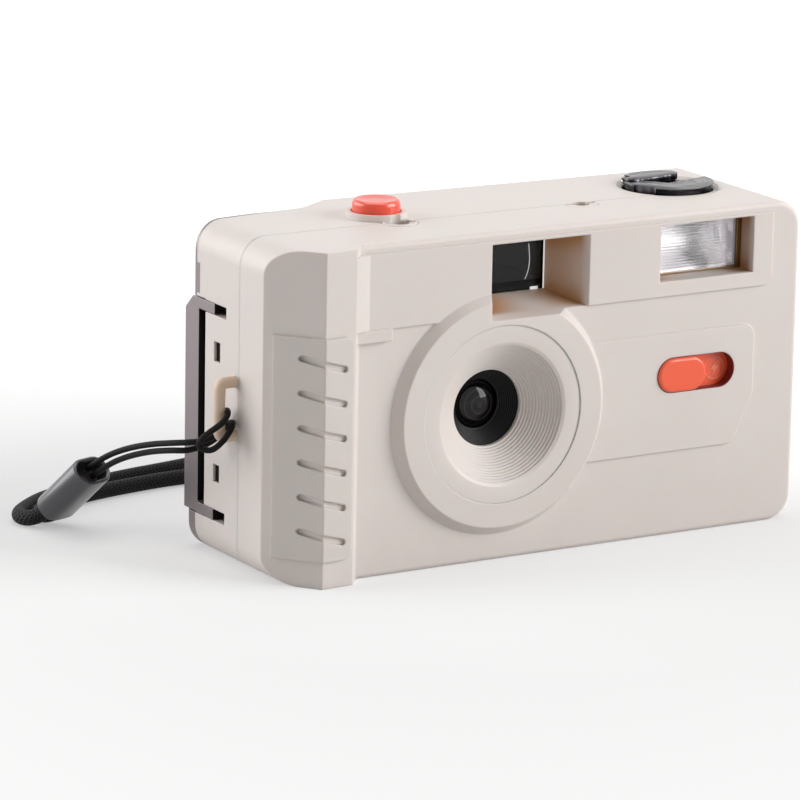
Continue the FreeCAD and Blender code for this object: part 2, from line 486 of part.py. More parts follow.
def mid_body():
    """Middle frame: top, base and side walls with the knob recess, wells and hinge slots."""
    ring = cut("mid_ring", frame_outline("mid_outer", "seam_y", "rim_y"),
               frame_outline("mid_inner", "seam_y - 1", "rim_y + 1", "wall"))
    knob = ("cassette_x", "cassette_y")
    adds = [ring, top_brow("mid_brow"),
            block("knob_shelf", ("cassette_x - recess_r - 1.6", "cassette_x + recess_r + 1.6"),
                  ("seam_y", "rim_y"), ("shelf_low", "body_height - wall")),
            rod("wheel_boss", "z", ("spool_x", "spool_y"), "wheel_high + wheel_gap", "body_height - wall",
                "shaft_r + 1.4"),
            rod("collar", "z", ("button_x", "button_y"), "body_height - wall", "collar_top", "collar_r")]
    for side, x in (("left", "well_left_x"), ("right", "well_right_x")):
        adds.append(rod("well_boss_" + side, "z", (x, "well_y"), "body_height - wall - well_deep", "body_height",
                        "well_boss"))
    pivot = ("%s + pivot_in" % LEFT, "pivot_y")
    for side, low, high, over in hinge_levels():
        adds.append(block("bracket_under_" + side, (LEFT + " + wall", "%s + 1.9" % pivot[0]),
                          ("pivot_y - 2.4", "pivot_y + 2.3"), (low + " - arm_room - 2.2", low + " - arm_room")))
        adds.append(block("bracket_over_" + side, (LEFT + " + wall", "%s + 1.9" % pivot[0]),
                          ("pivot_y - 2.4", "pivot_y + 2.3"),
                          (high + " + arm_room", high + " + arm_room + " + over)))
    cuts = [rod("knob_recess", "z", knob, "recess_low", "body_height + 1", "recess_r"),
            taper("knob_bevel", "z", knob, "body_height - recess_bevel", "body_height + 0.2", "recess_r",
                  "recess_r + recess_bevel + 0.2"),
            rod("knob_bore", "z", knob, "shelf_low - 1", "recess_low + 1", "shaft_r + bearing_gap"),
            rod("button_bore", "z", ("button_x", "button_y"), "body_height - wall - 2", "collar_top + 1",
                "cap_r + button_gap"),
            rod("wheel_bore", "z", ("spool_x", "spool_y"), "wheel_high", "wheel_high + 4", "shaft_r + bearing_gap"),
            rod("wheel_room", "z", ("spool_x", "spool_y"), "wheel_low - wheel_gap", "wheel_high + wheel_gap",
                "wheel_r + wheel_gap"),
            block("wheel_slot", (LEFT + " - 1", LEFT + " + recess_in_x + 3"), ("rim_y - 1.1", "rim_y + 1"),
                  ("wheel_low - wheel_gap", "wheel_high + wheel_gap")),
            block("door_edge", (LEFT + " - 1", LEFT + " + wall + 0.5"), ("rear_y - door_depth - 1.3", "rim_y + 1"),
                  ("door_low - door_gap", "door_high + door_gap")),
            block("seam_line", (LEFT + " + corner_round / 2", "cassette_x"), ("seam_y - 1", "seam_y + seam_line"),
                  ("body_height - corner_round / 2", "body_height + 1")),
            rod("release_bore", "z", ("sprocket_x", "film_y - sprocket_r"), "-1", "wall + 1", "release_r + 0.1")]
    for side, low, high, over in hinge_levels():
        cuts.append(block("arm_slot_" + side, (LEFT + " - 1", LEFT + " + wall + 0.01"), ("arm_slot_y", "rim_y"),
                          (low + " - arm_room * 0.5", high + " + arm_room * 0.5")))
        cuts.append(rod("pin_hole_" + side, "z", pivot, low + " - arm_room - 1.7",
                        high + " + arm_room + 0.8 * " + over, "hinge_pin"))
    cuts.append(prism("door_edge_bevel", "XY_Plane",
                      [(LEFT + " - 1", "rear_y - door_depth - 2.6"), (LEFT + " + 0.1", "rear_y - door_depth - 2.6"),
                       (LEFT + " + 1.3", "rear_y - door_depth - 1.2"), (LEFT + " - 1", "rear_y - door_depth - 1.2")],
                      "door_low - door_gap", "door_high + door_gap"))
    for low, high in (("38.0", "41.8"), ("15.0", "18.4")):
        cuts.append(block("side_window_%s" % low[:2], (LEFT + " - 1", LEFT + " + wall + 1"), ("4.6", "6.9"),
                          (low, high)))
    for side, x in (("left", "well_left_x"), ("right", "well_right_x")):
        cuts.append(rod("well_%s" % side, "z", (x, "well_y"), "body_height - well_deep", "collar_top + 1",
                        "well_r"))
        cuts.append(rod("screw_pilot_%s" % side, "z", (x, "well_y"), "body_height - well_deep - wall - 1",
                        "body_height - 1", "screw_r / 2"))
    for side, z in (("low", "lug_low"), ("high", "lug_high - lug_leg")):
        cuts.append(block("lug_socket_" + side, (LEFT + " - 1", LEFT + " + lug_root"),
                          ("lug_y - lug_width / 2", "lug_y + lug_width / 2"), (z, z + " + lug_leg")))
    return node("mid_body", cut("mid_body", join("mid_full", *adds), *cuts))


def hinge_levels():
    """Heights of the door's two hinge arms, and the bracket's thickness over each."""
    return (("low", "(door_low - 0.1)", "(door_low - 0.1 + arm_thick)", "2.2"),
            ("high", "(door_high - arm_thick)", "door_high", "0.65"))


def thumb_recess(name):
    """Cutter of the thumb recess at the rear left of the top."""
    return prism(name, "XY_Plane",
                 [(LEFT + " - 1", "recess_side_y - 0.1"), (LEFT + " + recess_in_x", "recess_in_y"),
                  (LEFT + " + recess_end_x", "brow_left_y"), (LEFT + " + recess_end_x", "brow_left_y + 3"),
                  (LEFT + " - 1", "brow_left_y + 3")],
                 "door_high + door_gap", "body_height + 1")


def rear_frame():
    """Dark rear frame round the film door, with the thumb recess and the eyepiece window."""
    plate = frame_outline("rear_blank", "rim_y", "rear_y")
    soft = rounded("rear_soft", plate, "rear_round",
                   lambda edge: edge.BoundBox.YMin > SIZES["rear_y"] - 0.01)
    middle = "((finder_in_left + finder_in_right) / 2)"
    level = "((finder_in_low + finder_in_high) / 2)"
    cuts = [block("door_window", (LEFT + " - 1", "door_right + door_gap"), ("rim_y - 1", "rear_y + 1"),
                  ("door_low - door_gap", "door_high + door_gap")),
            thumb_recess("rear_recess"),
            rod("rear_wheel_room", "z", ("spool_x", "spool_y"), "wheel_low - wheel_gap", "wheel_high + wheel_gap",
                "wheel_r + wheel_gap"),
            rod("rear_knob_recess", "z", ("cassette_x", "cassette_y"), "recess_low", "body_height + 1", "recess_r"),
            taper("rear_knob_bevel", "z", ("cassette_x", "cassette_y"), "body_height - recess_bevel",
                  "body_height + 0.2", "recess_r", "recess_r + recess_bevel + 0.2"),
            funnel("eyepiece_mouth", ("rim_y - 0.1", "brow_left_y"),
                   (middle + " - 4.0", middle + " + 4.0", level + " - 2.8", level + " + 2.8"),
                   (middle + " - 6.2", middle + " + 6.2", level + " - 4.2", level + " + 4.2")),
            block("latch_slot", ("door_right + door_gap + 0.5", RIGHT + " + 1"), ("rim_y + 0.9", "rear_y - 1.2"),
                  ("latch_low - 0.3", "latch_high + latch_travel + 0.3"))]
    hump = common("rear_hump", frame_outline("hump_frame", "rim_y", "brow_left_y", "wall"),
                  brow_plan("hump_plan", "hump_inset", "door_high + door_gap", "body_height"))
    tab = block("rear_tab", (LEFT, LEFT + " + wall"), ("rim_y - 1.1", "rim_y + 0.1"),
                ("wheel_low - wheel_gap", "wheel_high + wheel_gap"))
    under = cut("rear_under_brow", join("rear_full", soft, hump, tab), top_brow("rear_brow"))
    return node("rear_frame", cut("rear_frame", under, *cuts))


def strap_lug():
    """Staple on the left side that the strap's string goes round."""
    out = LEFT + " - lug_out"
    width = ("lug_y - lug_width / 2", "lug_y + lug_width / 2")
    bow = prism("lug_bow", "XZ_Plane",
                [(LEFT + " + lug_root", "lug_low"), (LEFT + " + lug_root", "lug_low + lug_leg"),
                 (out + " + lug_bar", "lug_low + lug_leg"), (out + " + lug_bar", "lug_high - lug_leg"),
                 (LEFT + " + lug_root", "lug_high - lug_leg"), (LEFT + " + lug_root", "lug_high"),
                 (out, "lug_high"), (out, "lug_low")],
                width[0], width[1], ("lug_bar * 0.9", (6, 7)))
    outside = -SIZES["body_width"] / 2 - 0.01
    return node("strap_lug", rounded("lug_soft_edges", bow, "lug_soft",
                                     lambda edge: edge.BoundBox.XMin < outside and edge.BoundBox.YMax
                                     - edge.BoundBox.YMin < 0.01))


def chassis():
    """Inner moulding with both film chambers, the film gate, the light tunnel and the shaft bearings."""
    side = "wall + chassis_gap"
    cassette = ("cassette_x", "cassette_y")
    spool = ("spool_x", "spool_y")
    drum = ("sprocket_x", "film_y - sprocket_r")
    left = "%s + %s" % (LEFT, side)
    right = "%s - (%s)" % (RIGHT, side)
    adds = [prism("chassis_block", "XZ_Plane",
                  [(left, "wall"), (right, "wall"), (right, "chassis_top"), (left, "chassis_top")],
                  "chassis_front", "film_y", ("corner_round - wall + 0.2", (0, 1))),
            rod("cassette_bulge", "z", cassette, "corner_round", "chassis_top", "cassette_r + chamber_wall"),
            rod("takeup_bulge", "z", spool, "corner_round", "chassis_top", "takeup_r + chamber_wall"),
            rod("button_guide", "z", ("button_x", "button_y"), "chassis_top", "guide_high", "guide_r")]
    full = cut("chassis_bulk", join("chassis_full", *adds),
               block("chassis_rear_trim", (LEFT, RIGHT), ("film_y", "rear_y + 5"), ("0", "body_height")))
    cuts = [rod("cassette_chamber", "z", cassette, "cassette_low", "cassette_high", "cassette_r"),
            block("cassette_way", ("cassette_x - cassette_r", "cassette_x + cassette_r"),
                  ("cassette_y", "film_y + 1"), ("cassette_low", "cassette_high")),
            rod("hub_bore", "z", cassette, "hub_low", "cassette_low + 1", "hub_r"),
            rod("rewind_bore", "z", cassette, "cassette_high - 1", "chassis_top + 1", "shaft_r + bearing_gap"),
            rod("takeup_chamber", "z", spool, "takeup_low", "takeup_high", "takeup_r"),
            block("takeup_way", ("spool_x - takeup_r", "spool_x + takeup_r"), ("spool_y", "film_y + 1"),
                  ("takeup_low", "takeup_high")),
            rod("spool_bore", "z", spool, "takeup_low - 1.6", "chassis_top + 1", "shaft_r + bearing_gap"),
            funnel("light_tunnel", ("chassis_front + 2.2", "film_y + 0.1"),
                   ("lens_x - tunnel_width / 2", "lens_x + tunnel_width / 2", "lens_z - tunnel_height / 2",
                    "lens_z + tunnel_height / 2"),
                   ("lens_x - gate_width / 2", "lens_x + gate_width / 2", "lens_z - gate_height / 2",
                    "lens_z + gate_height / 2")),
            rod("lens_bore", "y", ("lens_x", "lens_z"), "chassis_front - 1", "chassis_front + 3",
                "rear_lens_r - 0.8"),
            rod("rear_lens_seat", "y", ("lens_x", "lens_z"), "chassis_front - 1",
                "chassis_front + rear_lens_thick + 0.1", "rear_lens_r + 0.1"),
            rod("sprocket_pocket", "z", drum, "takeup_low", "takeup_high", "sprocket_well"),
            rod("sprocket_bore", "z", drum, "takeup_low - 1.6", "chassis_top + 1", "sprocket_shaft + bearing_gap"),
            rod("release_guide", "z", drum, "wall - 1", "wall + 4.4", "release_r * 0.5 + bearing_gap"),
            rod("release_room", "z", drum, "wall - 1", "1.2 + release_travel + 0.2", "release_r + 0.1"),
            rod("stem_bore", "z", ("button_x", "button_y"), "chassis_top - 2", "guide_high + 1",
                "stem_r + bearing_gap")]
    pivot_x = "%s + pivot_in" % LEFT
    for name, low, high in (("low", "0", "door_low + arm_thick + 3.2"),
                            ("high", "door_high - arm_thick - 3.2", "chassis_top + 1")):
        cuts.append(block("hinge_room_" + name, (LEFT, pivot_x + " + 4.2"), ("pivot_y - 4.4", "film_y + 1"),
                          (low, high)))
    return node("chassis", cut("chassis", full, *cuts))


def lens_bezel():
    """Beige cone in the lens boss, stepped down to the barrel."""
    points = [("cone_hole", "cone_back_y + 0.5"), ("cone_hole", "cone_back_y")]
    face = "(front_y - boss_rise)"
    steps = int(SIZES["cone_steps"])
    for index in range(steps):
        inner = "cone_hole + (cone_rim - cone_hole) * %d / %d" % (index, steps)
        outer = "cone_hole + (cone_rim - cone_hole) * %d / %d" % (index + 1, steps)
        front = "cone_back_y + (%s - cone_back_y) * %d / %d" % (face, index + 1, steps)
        if index:
            points.append((inner, "cone_back_y + (%s - cone_back_y) * %d / %d" % (face, index, steps)))
        points.append((outer, front) if index == steps - 1 else
                      (outer, "cone_back_y + (%s - cone_back_y) * %d / %d" % (face, index, steps)))
    points += [("bezel_outer", face), ("bezel_outer", "bezel_back_y"),
               ("barrel_outer + 0.15", "bezel_back_y"), ("barrel_outer + 0.15", "cone_back_y + 0.5")]
    cleaned = [point for index, point in enumerate(points) if point not in points[:index]]
    return node("lens_bezel", turned("lens_bezel", "y", ("lens_x", "lens_z"), cleaned))


def lens_barrel():
    """Black barrel: baffle steps in front of the lens and a chamber for the shutter blade behind."""
    back = "(chassis_front - shutter_plate_thick)"
    roof = "(%s - blade_room)" % back
    flange = "(%s - 1.1)" % roof
    front = "(cone_back_y + 0.55)"
    points = [("barrel_flange", back), ("barrel_flange", flange), ("barrel_outer", flange), ("barrel_outer", front)]
    steps = int(SIZES["barrel_steps"])
    mouth = "(cone_hole - 0.05)"
    throat = "(front_lens_r - 0.7)"
    for index in range(steps):
        radius = "%s + (%s - %s) * %d / %d" % (mouth, throat, mouth, index, steps)
        near = "%s + (front_lens_y - %s) * %d / %d" % (front, front, index, steps)
        far = "%s + (front_lens_y - %s) * %d / %d" % (front, front, index + 1, steps)
        points += [(radius, near), (radius, far)]
    points += [("front_lens_r + 0.05", "front_lens_y"), ("front_lens_r + 0.05", "front_lens_y + front_lens_thick"),
               ("stop_r", "front_lens_y + front_lens_thick"), ("stop_r", roof), ("blade_room_r", roof),
               ("blade_room_r", back)]
    return node("lens_barrel", turned("lens_barrel", "y", ("lens_x", "lens_z"), points))


def disc_lens(name, centre, low, high, radius, crown):
    """Glass disc with a crowned front."""
    disc = rod(name + "_disc", "y", centre, low + " + " + crown, high, radius)
    dome = doc.addObject("Part::Cone", name + "_crown")
    place_on(dome, "y", centre, low)
    bind(dome, "Radius1", radius + " * 0.6")
    bind(dome, "Radius2", radius)
    bind(dome, "Height", crown)
    return node(name, join(name, disc, dome))


def shutter():
    """Plate with the aperture and the blade's pivot, and the blade over the aperture."""
    back = "chassis_front"
    front = "(chassis_front - shutter_plate_thick)"
    centre = ("lens_x", "lens_z")
    pivot = ("lens_x - blade_arm", "lens_z - 2.5")
    plate = block("shutter_blank", ("lens_x - barrel_flange - 1", "lens_x + barrel_flange + 1"), (front, back),
                  ("lens_z - barrel_flange - 1", "lens_z + barrel_flange + 1"))
    pin = rod("blade_pin", "y", pivot, front + " - blade_room + 0.1", back, "0.7")
    plate = cut("shutter_plate", join("shutter_plate_full", plate, pin),
                rod("aperture", "y", centre, front + " - 1", back + " + 1", "aperture_r"))
    node("shutter_plate", plate)
    near = front + " - 0.2 - blade_thick"
    far = front + " - 0.2"
    arm = prism("blade_arm_shape", "XZ_Plane",
                [("lens_x - blade_arm - 1.2", "lens_z - 3.6"), ("lens_x - blade_arm + 1.4", "lens_z - 3.9"),
                 ("lens_x + 0.5", "lens_z - 2.6"), ("lens_x - 0.5", "lens_z + 2.4"),
                 ("lens_x - blade_arm - 0.6", "lens_z - 1.2")], near, far)
    blade = join("blade_full", arm, rod("blade_disc_shape", "y", centre, near, far, "blade_disc"),
                 rod("blade_eye", "y", pivot, near, far, "1.7"))
    node("shutter_blade", cut("shutter_blade", blade, rod("blade_hole", "y", pivot, near + " - 1", far + " + 1",
                                                          "0.7 + bearing_gap")))


def viewfinder():
    """Front window, light tunnel and eyepiece of the viewfinder."""
    near = "front_y + finder_depth"
    node("viewfinder_window", block("viewfinder_window",
                                    ("finder_in_left - window_lap", "finder_in_right + window_lap"),
                                    (near, near + " + window_thick"),
                                    ("finder_in_low - window_lap", "finder_in_high + window_lap")))
    outer = block("finder_tube", ("finder_in_left - window_lap", "finder_in_right + window_lap"),
                  (near + " + window_thick", "rim_y - eyepiece_thick"), ("chassis_top", "finder_in_high + window_lap"))
    inner = block("finder_bore", ("finder_in_left + 0.3", "finder_in_right - 0.3"), (near, "rim_y + 1"),
                  ("chassis_top + thin_wall", "finder_in_high - 0.4"))
    node("viewfinder_tunnel", cut("viewfinder_tunnel", outer, inner))
    node("eyepiece", block("eyepiece", ("finder_in_left", "finder_in_right"), ("rim_y - eyepiece_thick", "rim_y"),
                           ("chassis_top + 0.4", "finder_in_high")))


def flash():
    """Ribbed flash lens, reflector, tube, circuit board and capacitor."""
    front = "(front_y + flash_depth)"
    back = "(front_y + flash_depth + flash_lens_thick)"
    plate = block("flash_lens_plate", ("flash_left + 0.1", "flash_right - 0.1"), (front, back + " - 0.4"),
                  ("flash_low + 0.1", "flash_high - 0.1"))
    foot = block("flash_lens_foot", ("flash_left + 0.7", "flash_right - 0.7"), (back + " - 0.5", back),
                 ("flash_low + 0.6", "flash_high - 0.6"))
    seated = join("flash_lens_body", plate, foot)
    node("flash_lens", cut("flash_lens", seated, *[
        rod("flash_flute_%d" % index, "x", (front + " - 0.15", "flash_low + 1.0 + %d * 1.27" % index),
            "flash_left - 1", "flash_right + 1", "0.5") for index in range(8)]))
    spans = []
    for shrink in ("0", "sheet_metal"):
        spans.append((("flash_left + 0.6 + " + shrink, "flash_right - 0.6 - " + shrink,
                       "flash_low + 0.5 + " + shrink, "flash_high - 0.5 - " + shrink),
                      ("flash_left + 2.2 + " + shrink, "flash_right - 2.2 - " + shrink,
                       "(flash_low + flash_high) / 2 - reflector_back / 2 - 0.5 + " + shrink,
                       "(flash_low + flash_high) / 2 + reflector_back / 2 + 0.5 - " + shrink)))
    outer = funnel("reflector_outer", (back, back + " + reflector_depth"), spans[0][0], spans[0][1])
    inner = funnel("reflector_inner", (back + " - 0.01", back + " + reflector_depth - sheet_metal"), spans[1][0],
                   spans[1][1])
    middle = "(flash_low + flash_high) / 2"
    tube_y = back + " + reflector_depth - sheet_metal - tube_radius - 0.2"
    holes = rod("reflector_holes", "x", (tube_y, middle), "flash_left", "flash_right", "tube_radius + 0.02")
    node("flash_reflector", cut("flash_reflector", outer, inner, holes))
    node("flash_tube", rod("flash_tube", "x", (tube_y, middle), "flash_left + 1.4", "flash_right - 1.4",
                           "tube_radius"))
    board_back = "(cassette_y - cassette_r - chamber_wall - 0.2)"
    node("circuit_board", block("circuit_board", ("sprocket_x + 9.6", "cassette_x + 10.7"),
                                (board_back + " - board_thick", board_back), ("wall", "flash_low + 0.5")))
    node("capacitor", rod("capacitor", "z", ("sprocket_x + 3.6", "chassis_front - capacitor_r - 0.1"), "wall",
                          "wall + capacitor_long", "capacitor_r"))


def flash_switch():
    """Orange slide: raised knob on a carrier plate behind the front wall."""
    front = "(front_y + wall)"
    carrier = block("switch_carrier", ("slot_left - switch_travel - 0.4", "slot_right + 0.8"),
                    (front + " + 0.05", front + " + 0.05 + carrier_thick"),
                    ("slot_z - carrier_height / 2", "slot_z + carrier_height / 2"))
    knob = slot_shape("switch_knob_shape", "slot_left + switch_gap", "slot_left + switch_gap + switch_knob",
                      "slot_z", "slot_height - 2 * switch_gap", "front_y - panel_raise * 0.8 - knob_proud",
                      front + " + 0.1")
    face_y = SIZES["front_y"] - SIZES["panel_raise"] * 0.8 - SIZES["knob_proud"] + 0.01
    soft = rounded("switch_knob_soft", knob, "knob_soft", lambda edge: edge.BoundBox.YMax < face_y)
    return node("flash_switch", join("flash_switch", carrier, soft))


def shutter_button():
    """Orange release button with its stem, and the coil spring under it."""
    centre = ("button_x", "button_y")
    low_stop = "body_height - wall - 0.1 - stop_thick"
    cap = turned("button_turned", "z", centre,
                 [("0", "guide_high - 1.9"), ("stem_r", "guide_high - 1.9"), ("stem_r", low_stop),
                  ("stop_flange", low_stop), ("stop_flange", low_stop + " + stop_thick"),
                  ("cap_r", low_stop + " + stop_thick"), ("cap_r", "cap_top - 0.8"),
                  ("cap_r - 0.2", "cap_top - 0.3"), ("cap_r - 0.6", "cap_top"), ("cap_r - 1.0", "cap_top - 0.05"),
                  ("cap_r * 0.4", "cap_top - cap_dish"), ("0", "cap_top - cap_dish")])
    flat = block("stop_flat_cut", ("button_x - stop_flange", "button_x + stop_flange"),
                 ("button_y - stop_flange - 1", "button_y - stop_flat"),
                 (low_stop + " - 0.1", "body_height - wall + 0.05"))
    node("shutter_button", cut("shutter_button", cap, flat))
    pairs = 5
    base = "guide_high"
    rise = "((%s - 0.05 - spring_thick - guide_high) / %d)" % (low_stop, 2 * pairs)
    levels = [(("spring_inner", "spring_outer")[index % 2], "%s + %s * %d" % (base, rise, index))
              for index in range(2 * pairs + 1)]
    under = levels + [(radius, height + " + spring_thick") for radius, height in reversed(levels)]
    node("button_spring", turned("button_spring", "z", centre, under))


def rewind():
    """Rewind knob with its notch, fork shaft, crank and crank pin."""
    centre = ("cassette_x", "cassette_y")
    disc = turned("knob_disc", "z", centre,
                  [("0", "knob_low"), ("knob_r - 0.5", "knob_low"), ("knob_r", "knob_low + 0.5"),
                   ("knob_r", "knob_top - 0.6"), ("knob_r - 0.6", "knob_top"), ("0", "knob_top")])
    axis_x = "(cassette_x - crank_axis_x)"
    cuts = [prism("arm_seat", "XY_Plane",
                  knob_points((-5.4, 1.9), (5.2, 3.75), (9.5, 5.0), (9.5, 9.8), (-5.4, 9.8)),
                  "crank_low - crank_gap", "knob_top + 1"),
            prism("finger_room", "XY_Plane",
                  knob_points((-4.2, 1.9), (-1.05, -1.95), (3.95, -0.8), (9.5, 0.65), (9.5, 7.5), (-4.2, 2.4)),
                  "crank_low - 0.7", "knob_top + 1"),
            prism("grip_room", "XY_Plane", knob_points((2.6, -0.9), (9.5, 0.65), (9.5, 7.9), (2.6, 7.9)),
                  "knob_low - 1", "knob_top + 1"),
            block("heel_room", (axis_x + " - 1.35", axis_x + " + 1.35"), ("cassette_y + 2.15", "cassette_y + 5.15"),
                  ("crank_axis_z - 1.35", "knob_top + 1")),
            prism("rim_notch", "XY_Plane", knob_points((-7.5, -1.0), (-5.9, -4.7), (-7.2, -7.6), (-10.5, -0.9)),
                  "knob_low - 1", "knob_top + 1"),
            rod("knob_pin_hole", "y", (axis_x, "crank_axis_z"), "cassette_y + 1.3", "cassette_y + 6.0", "pin_r"),
            rod("shaft_hole", "z", centre, "knob_low - 1", "knob_low + 1.6", "shaft_r")]
    node("rewind_knob", cut("rewind_knob", disc, *cuts))
    head = rod("fork_head", "z", centre, "fork_low", "fork_high", "fork_r")
    gap = cut("fork", head, block("fork_gap", ("cassette_x - 5", "cassette_x + 5"),
                                  ("cassette_y - prong", "cassette_y + prong"), ("fork_low - 1", "fork_high - 1.2")))
    shaft = rod("fork_shaft", "z", centre, "fork_high - 0.5", "knob_low + 1.6", "shaft_r")
    node("rewind_shaft", join("rewind_shaft", shaft, gap))
    arm = prism("crank_blank", "XY_Plane",
                knob_points((-7.2, 2.3), (-5.2, 2.3), (4.9, 3.95), (5.7, 5.1), (5.4, 6.8), (3.6, 8.0), (0.5, 8.7),
                            (-2.8, 8.3), (-5.2, 7.0), (-5.2, 5.0), (-7.2, 5.0)), "crank_low", "crank_high")
    stub = rod("crank_stub", "z", ("cassette_x + 4.2", "cassette_y + 5.6"), "knob_low + 1.3", "crank_low + 0.2",
               "1.2")
    node("rewind_crank", cut("rewind_crank", join("crank_full", arm, stub),
                             rod("crank_eye", "y", (axis_x, "crank_axis_z"), "cassette_y + 1", "cassette_y + 6",
                                 "pin_r + bearing_gap * 0.7")))
    node("crank_pin", rod("crank_pin", "y", (axis_x, "crank_axis_z"), "cassette_y + 1.3", "cassette_y + 6.0",
                          "pin_r"))


def knob_points(*offsets):
    """Plan points measured from the rewind knob's axis, drawn for a knob of 9 mm radius."""
    return [("cassette_x + (%s) * knob_r / 9" % dx, "cassette_y + (%s) * knob_r / 9" % dy) for dx, dy in offsets]


def thumb_wheel():
    """Notched thumb wheel and the take-up spool on one shaft."""
    centre = ("spool_x", "spool_y")
    rim = rod("wheel_blank", "z", centre, "wheel_low", "wheel_high", "wheel_r")
    cuts = [rod("wheel_shaft_hole", "z", centre, "wheel_low - 1", "wheel_high + 1", "shaft_r")]
    count = 36
    for index in range(count):
        angle = 2 * math.pi * index / count
        bar = block("wheel_notch_%d" % index, ("0", "wheel_notch * 1.6"), ("0", "wheel_notch * 1.6"),
                    ("wheel_low - 1", "wheel_high + 1"))
        bar.Placement = FreeCAD.Placement(V(), FreeCAD.Rotation(V(0, 0, 1), math.degrees(angle) - 45))
        reach = "(wheel_r - wheel_notch)"
        place(bar, "spool_x + %.5f * %s" % (math.cos(angle), reach), "spool_y + %.5f * %s" % (math.sin(angle), reach),
              "wheel_low - 1")
        cuts.append(bar)
    node("advance_wheel", cut("advance_wheel", rim, *cuts))
    profile = [("0", "takeup_low - 1.5"), ("shaft_r", "takeup_low - 1.5"), ("shaft_r", "takeup_low + 0.4"),
               ("flange_r", "takeup_low + 0.4"), ("flange_r", "takeup_low + 0.4 + flange_thick"),
               ("core_r", "takeup_low + 0.4 + flange_thick"), ("core_r", "takeup_high - 0.4 - flange_thick"),
               ("flange_r", "takeup_high - 0.4 - flange_thick"), ("flange_r", "takeup_high - 0.4"),
               ("shaft_r", "takeup_high - 0.4"), ("shaft_r", "wheel_high + 3.6"), ("0", "wheel_high + 3.6")]
    spool = turned("spool_turned", "z", centre, profile)
    node("takeup_spool", cut("takeup_spool", spool,
                             block("film_slit", ("spool_x - 0.5", "spool_x + 0.5"), ("spool_y - core_r - 1", "spool_y"),
                                   ("takeup_low + 6", "takeup_high - 6"))))


def sprocket():
    """Sprocket shaft with its two toothed drums."""
    centre = ("sprocket_x", "film_y - sprocket_r")
    items = [rod("sprocket_axle", "z", centre, "takeup_low - 1.5", "chassis_top", "sprocket_shaft"),
             rod("sprocket_core", "z", centre, "takeup_low + 0.3", "takeup_high - 0.3", "sprocket_r * 0.55")]
    outline = []
    for index in range(8):
        for turn, radius in ((-0.22, "(sprocket_r - 0.5)"), (-0.08, "(sprocket_r + tooth_rise)"),
                             (0.08, "(sprocket_r + tooth_rise)"), (0.22, "(sprocket_r - 0.5)")):
            angle = 2 * math.pi * (index + 0.5 + turn * 0.75) / 8
            outline.append(("sprocket_x + %.5f * %s" % (math.cos(angle), radius),
                            "film_y - sprocket_r + %.5f * %s" % (math.sin(angle), radius)))
    for side, sign in (("low", "-"), ("high", "+")):
        level = "(lens_z %s perforation_span / 2)" % sign
        items.append(rod("drum_" + side, "z", centre, level + " - drum_height / 2", level + " + drum_height / 2",
                         "sprocket_r"))
        items.append(prism("teeth_" + side, "XY_Plane", outline, level + " - 0.7", level + " + 0.7"))
    node("sprocket", join("sprocket", *items))


def film_door():
    """Dark film door: outer skin, rim, hinge bar and goose-neck arms."""
    inner_y = "(rear_y - door_depth)"
    plate = prism("door_blank", "YZ_Plane",
                  [(inner_y, "door_low"), ("rear_y", "door_low"), ("rear_y", "door_high - door_chamfer * 1.3"),
                   ("rear_y - door_chamfer * 1.4", "door_high"), (inner_y, "door_high")],
                  LEFT, "door_right")
    hollow = block("door_hollow", (LEFT + " + door_bar", "door_right - door_rim"),
                   (inner_y + " - 1", "rear_y - door_skin"), ("door_low + door_rim", "door_high - door_rim - 0.8"))
    can = rod("door_can_room", "z", ("cassette_x", "cassette_y"), "cassette_low + 0.2", "cassette_high - 0.2",
              "cassette_r + 0.05")
    shell = cut("door_shell", plate, hollow, can)
    pivot_x = LEFT + " + pivot_in"
    adds = [shell]
    cuts = []
    for side, low, high, over in hinge_levels():
        neck = prism("arm_" + side, "XY_Plane",
                     [(LEFT, "arm_front"), (pivot_x, "pivot_y - eye_r"), (pivot_x + " + eye_r * 0.7", "pivot_y"),
                      (LEFT + " + arm_width + 1.6", "pivot_y + 2.4"), (LEFT + " + arm_width", "pivot_y + 3.8"),
                      (LEFT + " + arm_width", inner_y + " + 1"), (LEFT, inner_y + " + 1")], low, high)
        adds += [neck, rod("eye_" + side, "z", (pivot_x, "pivot_y"), low, high, "eye_r")]
        cuts.append(rod("eye_hole_" + side, "z", (pivot_x, "pivot_y"), low + " - 1", high + " + 1",
                        "hinge_pin + bearing_gap"))
    return node("film_door", cut("film_door", join("door_full", *adds), *cuts))


def hinge_pins():
    """Two steel pins that the door's arms turn on."""
    pins = [rod("hinge_pin_" + side, "z", ("%s + pivot_in" % LEFT, "pivot_y"), low + " - arm_room - 1.7",
                high + " + arm_room + 0.8 * " + over, "hinge_pin") for side, low, high, over in hinge_levels()]
    pair = doc.addObject("Part::Compound", "door_hinge_pins")
    pair.Links = pins
    return node("door_hinge_pins", pair)


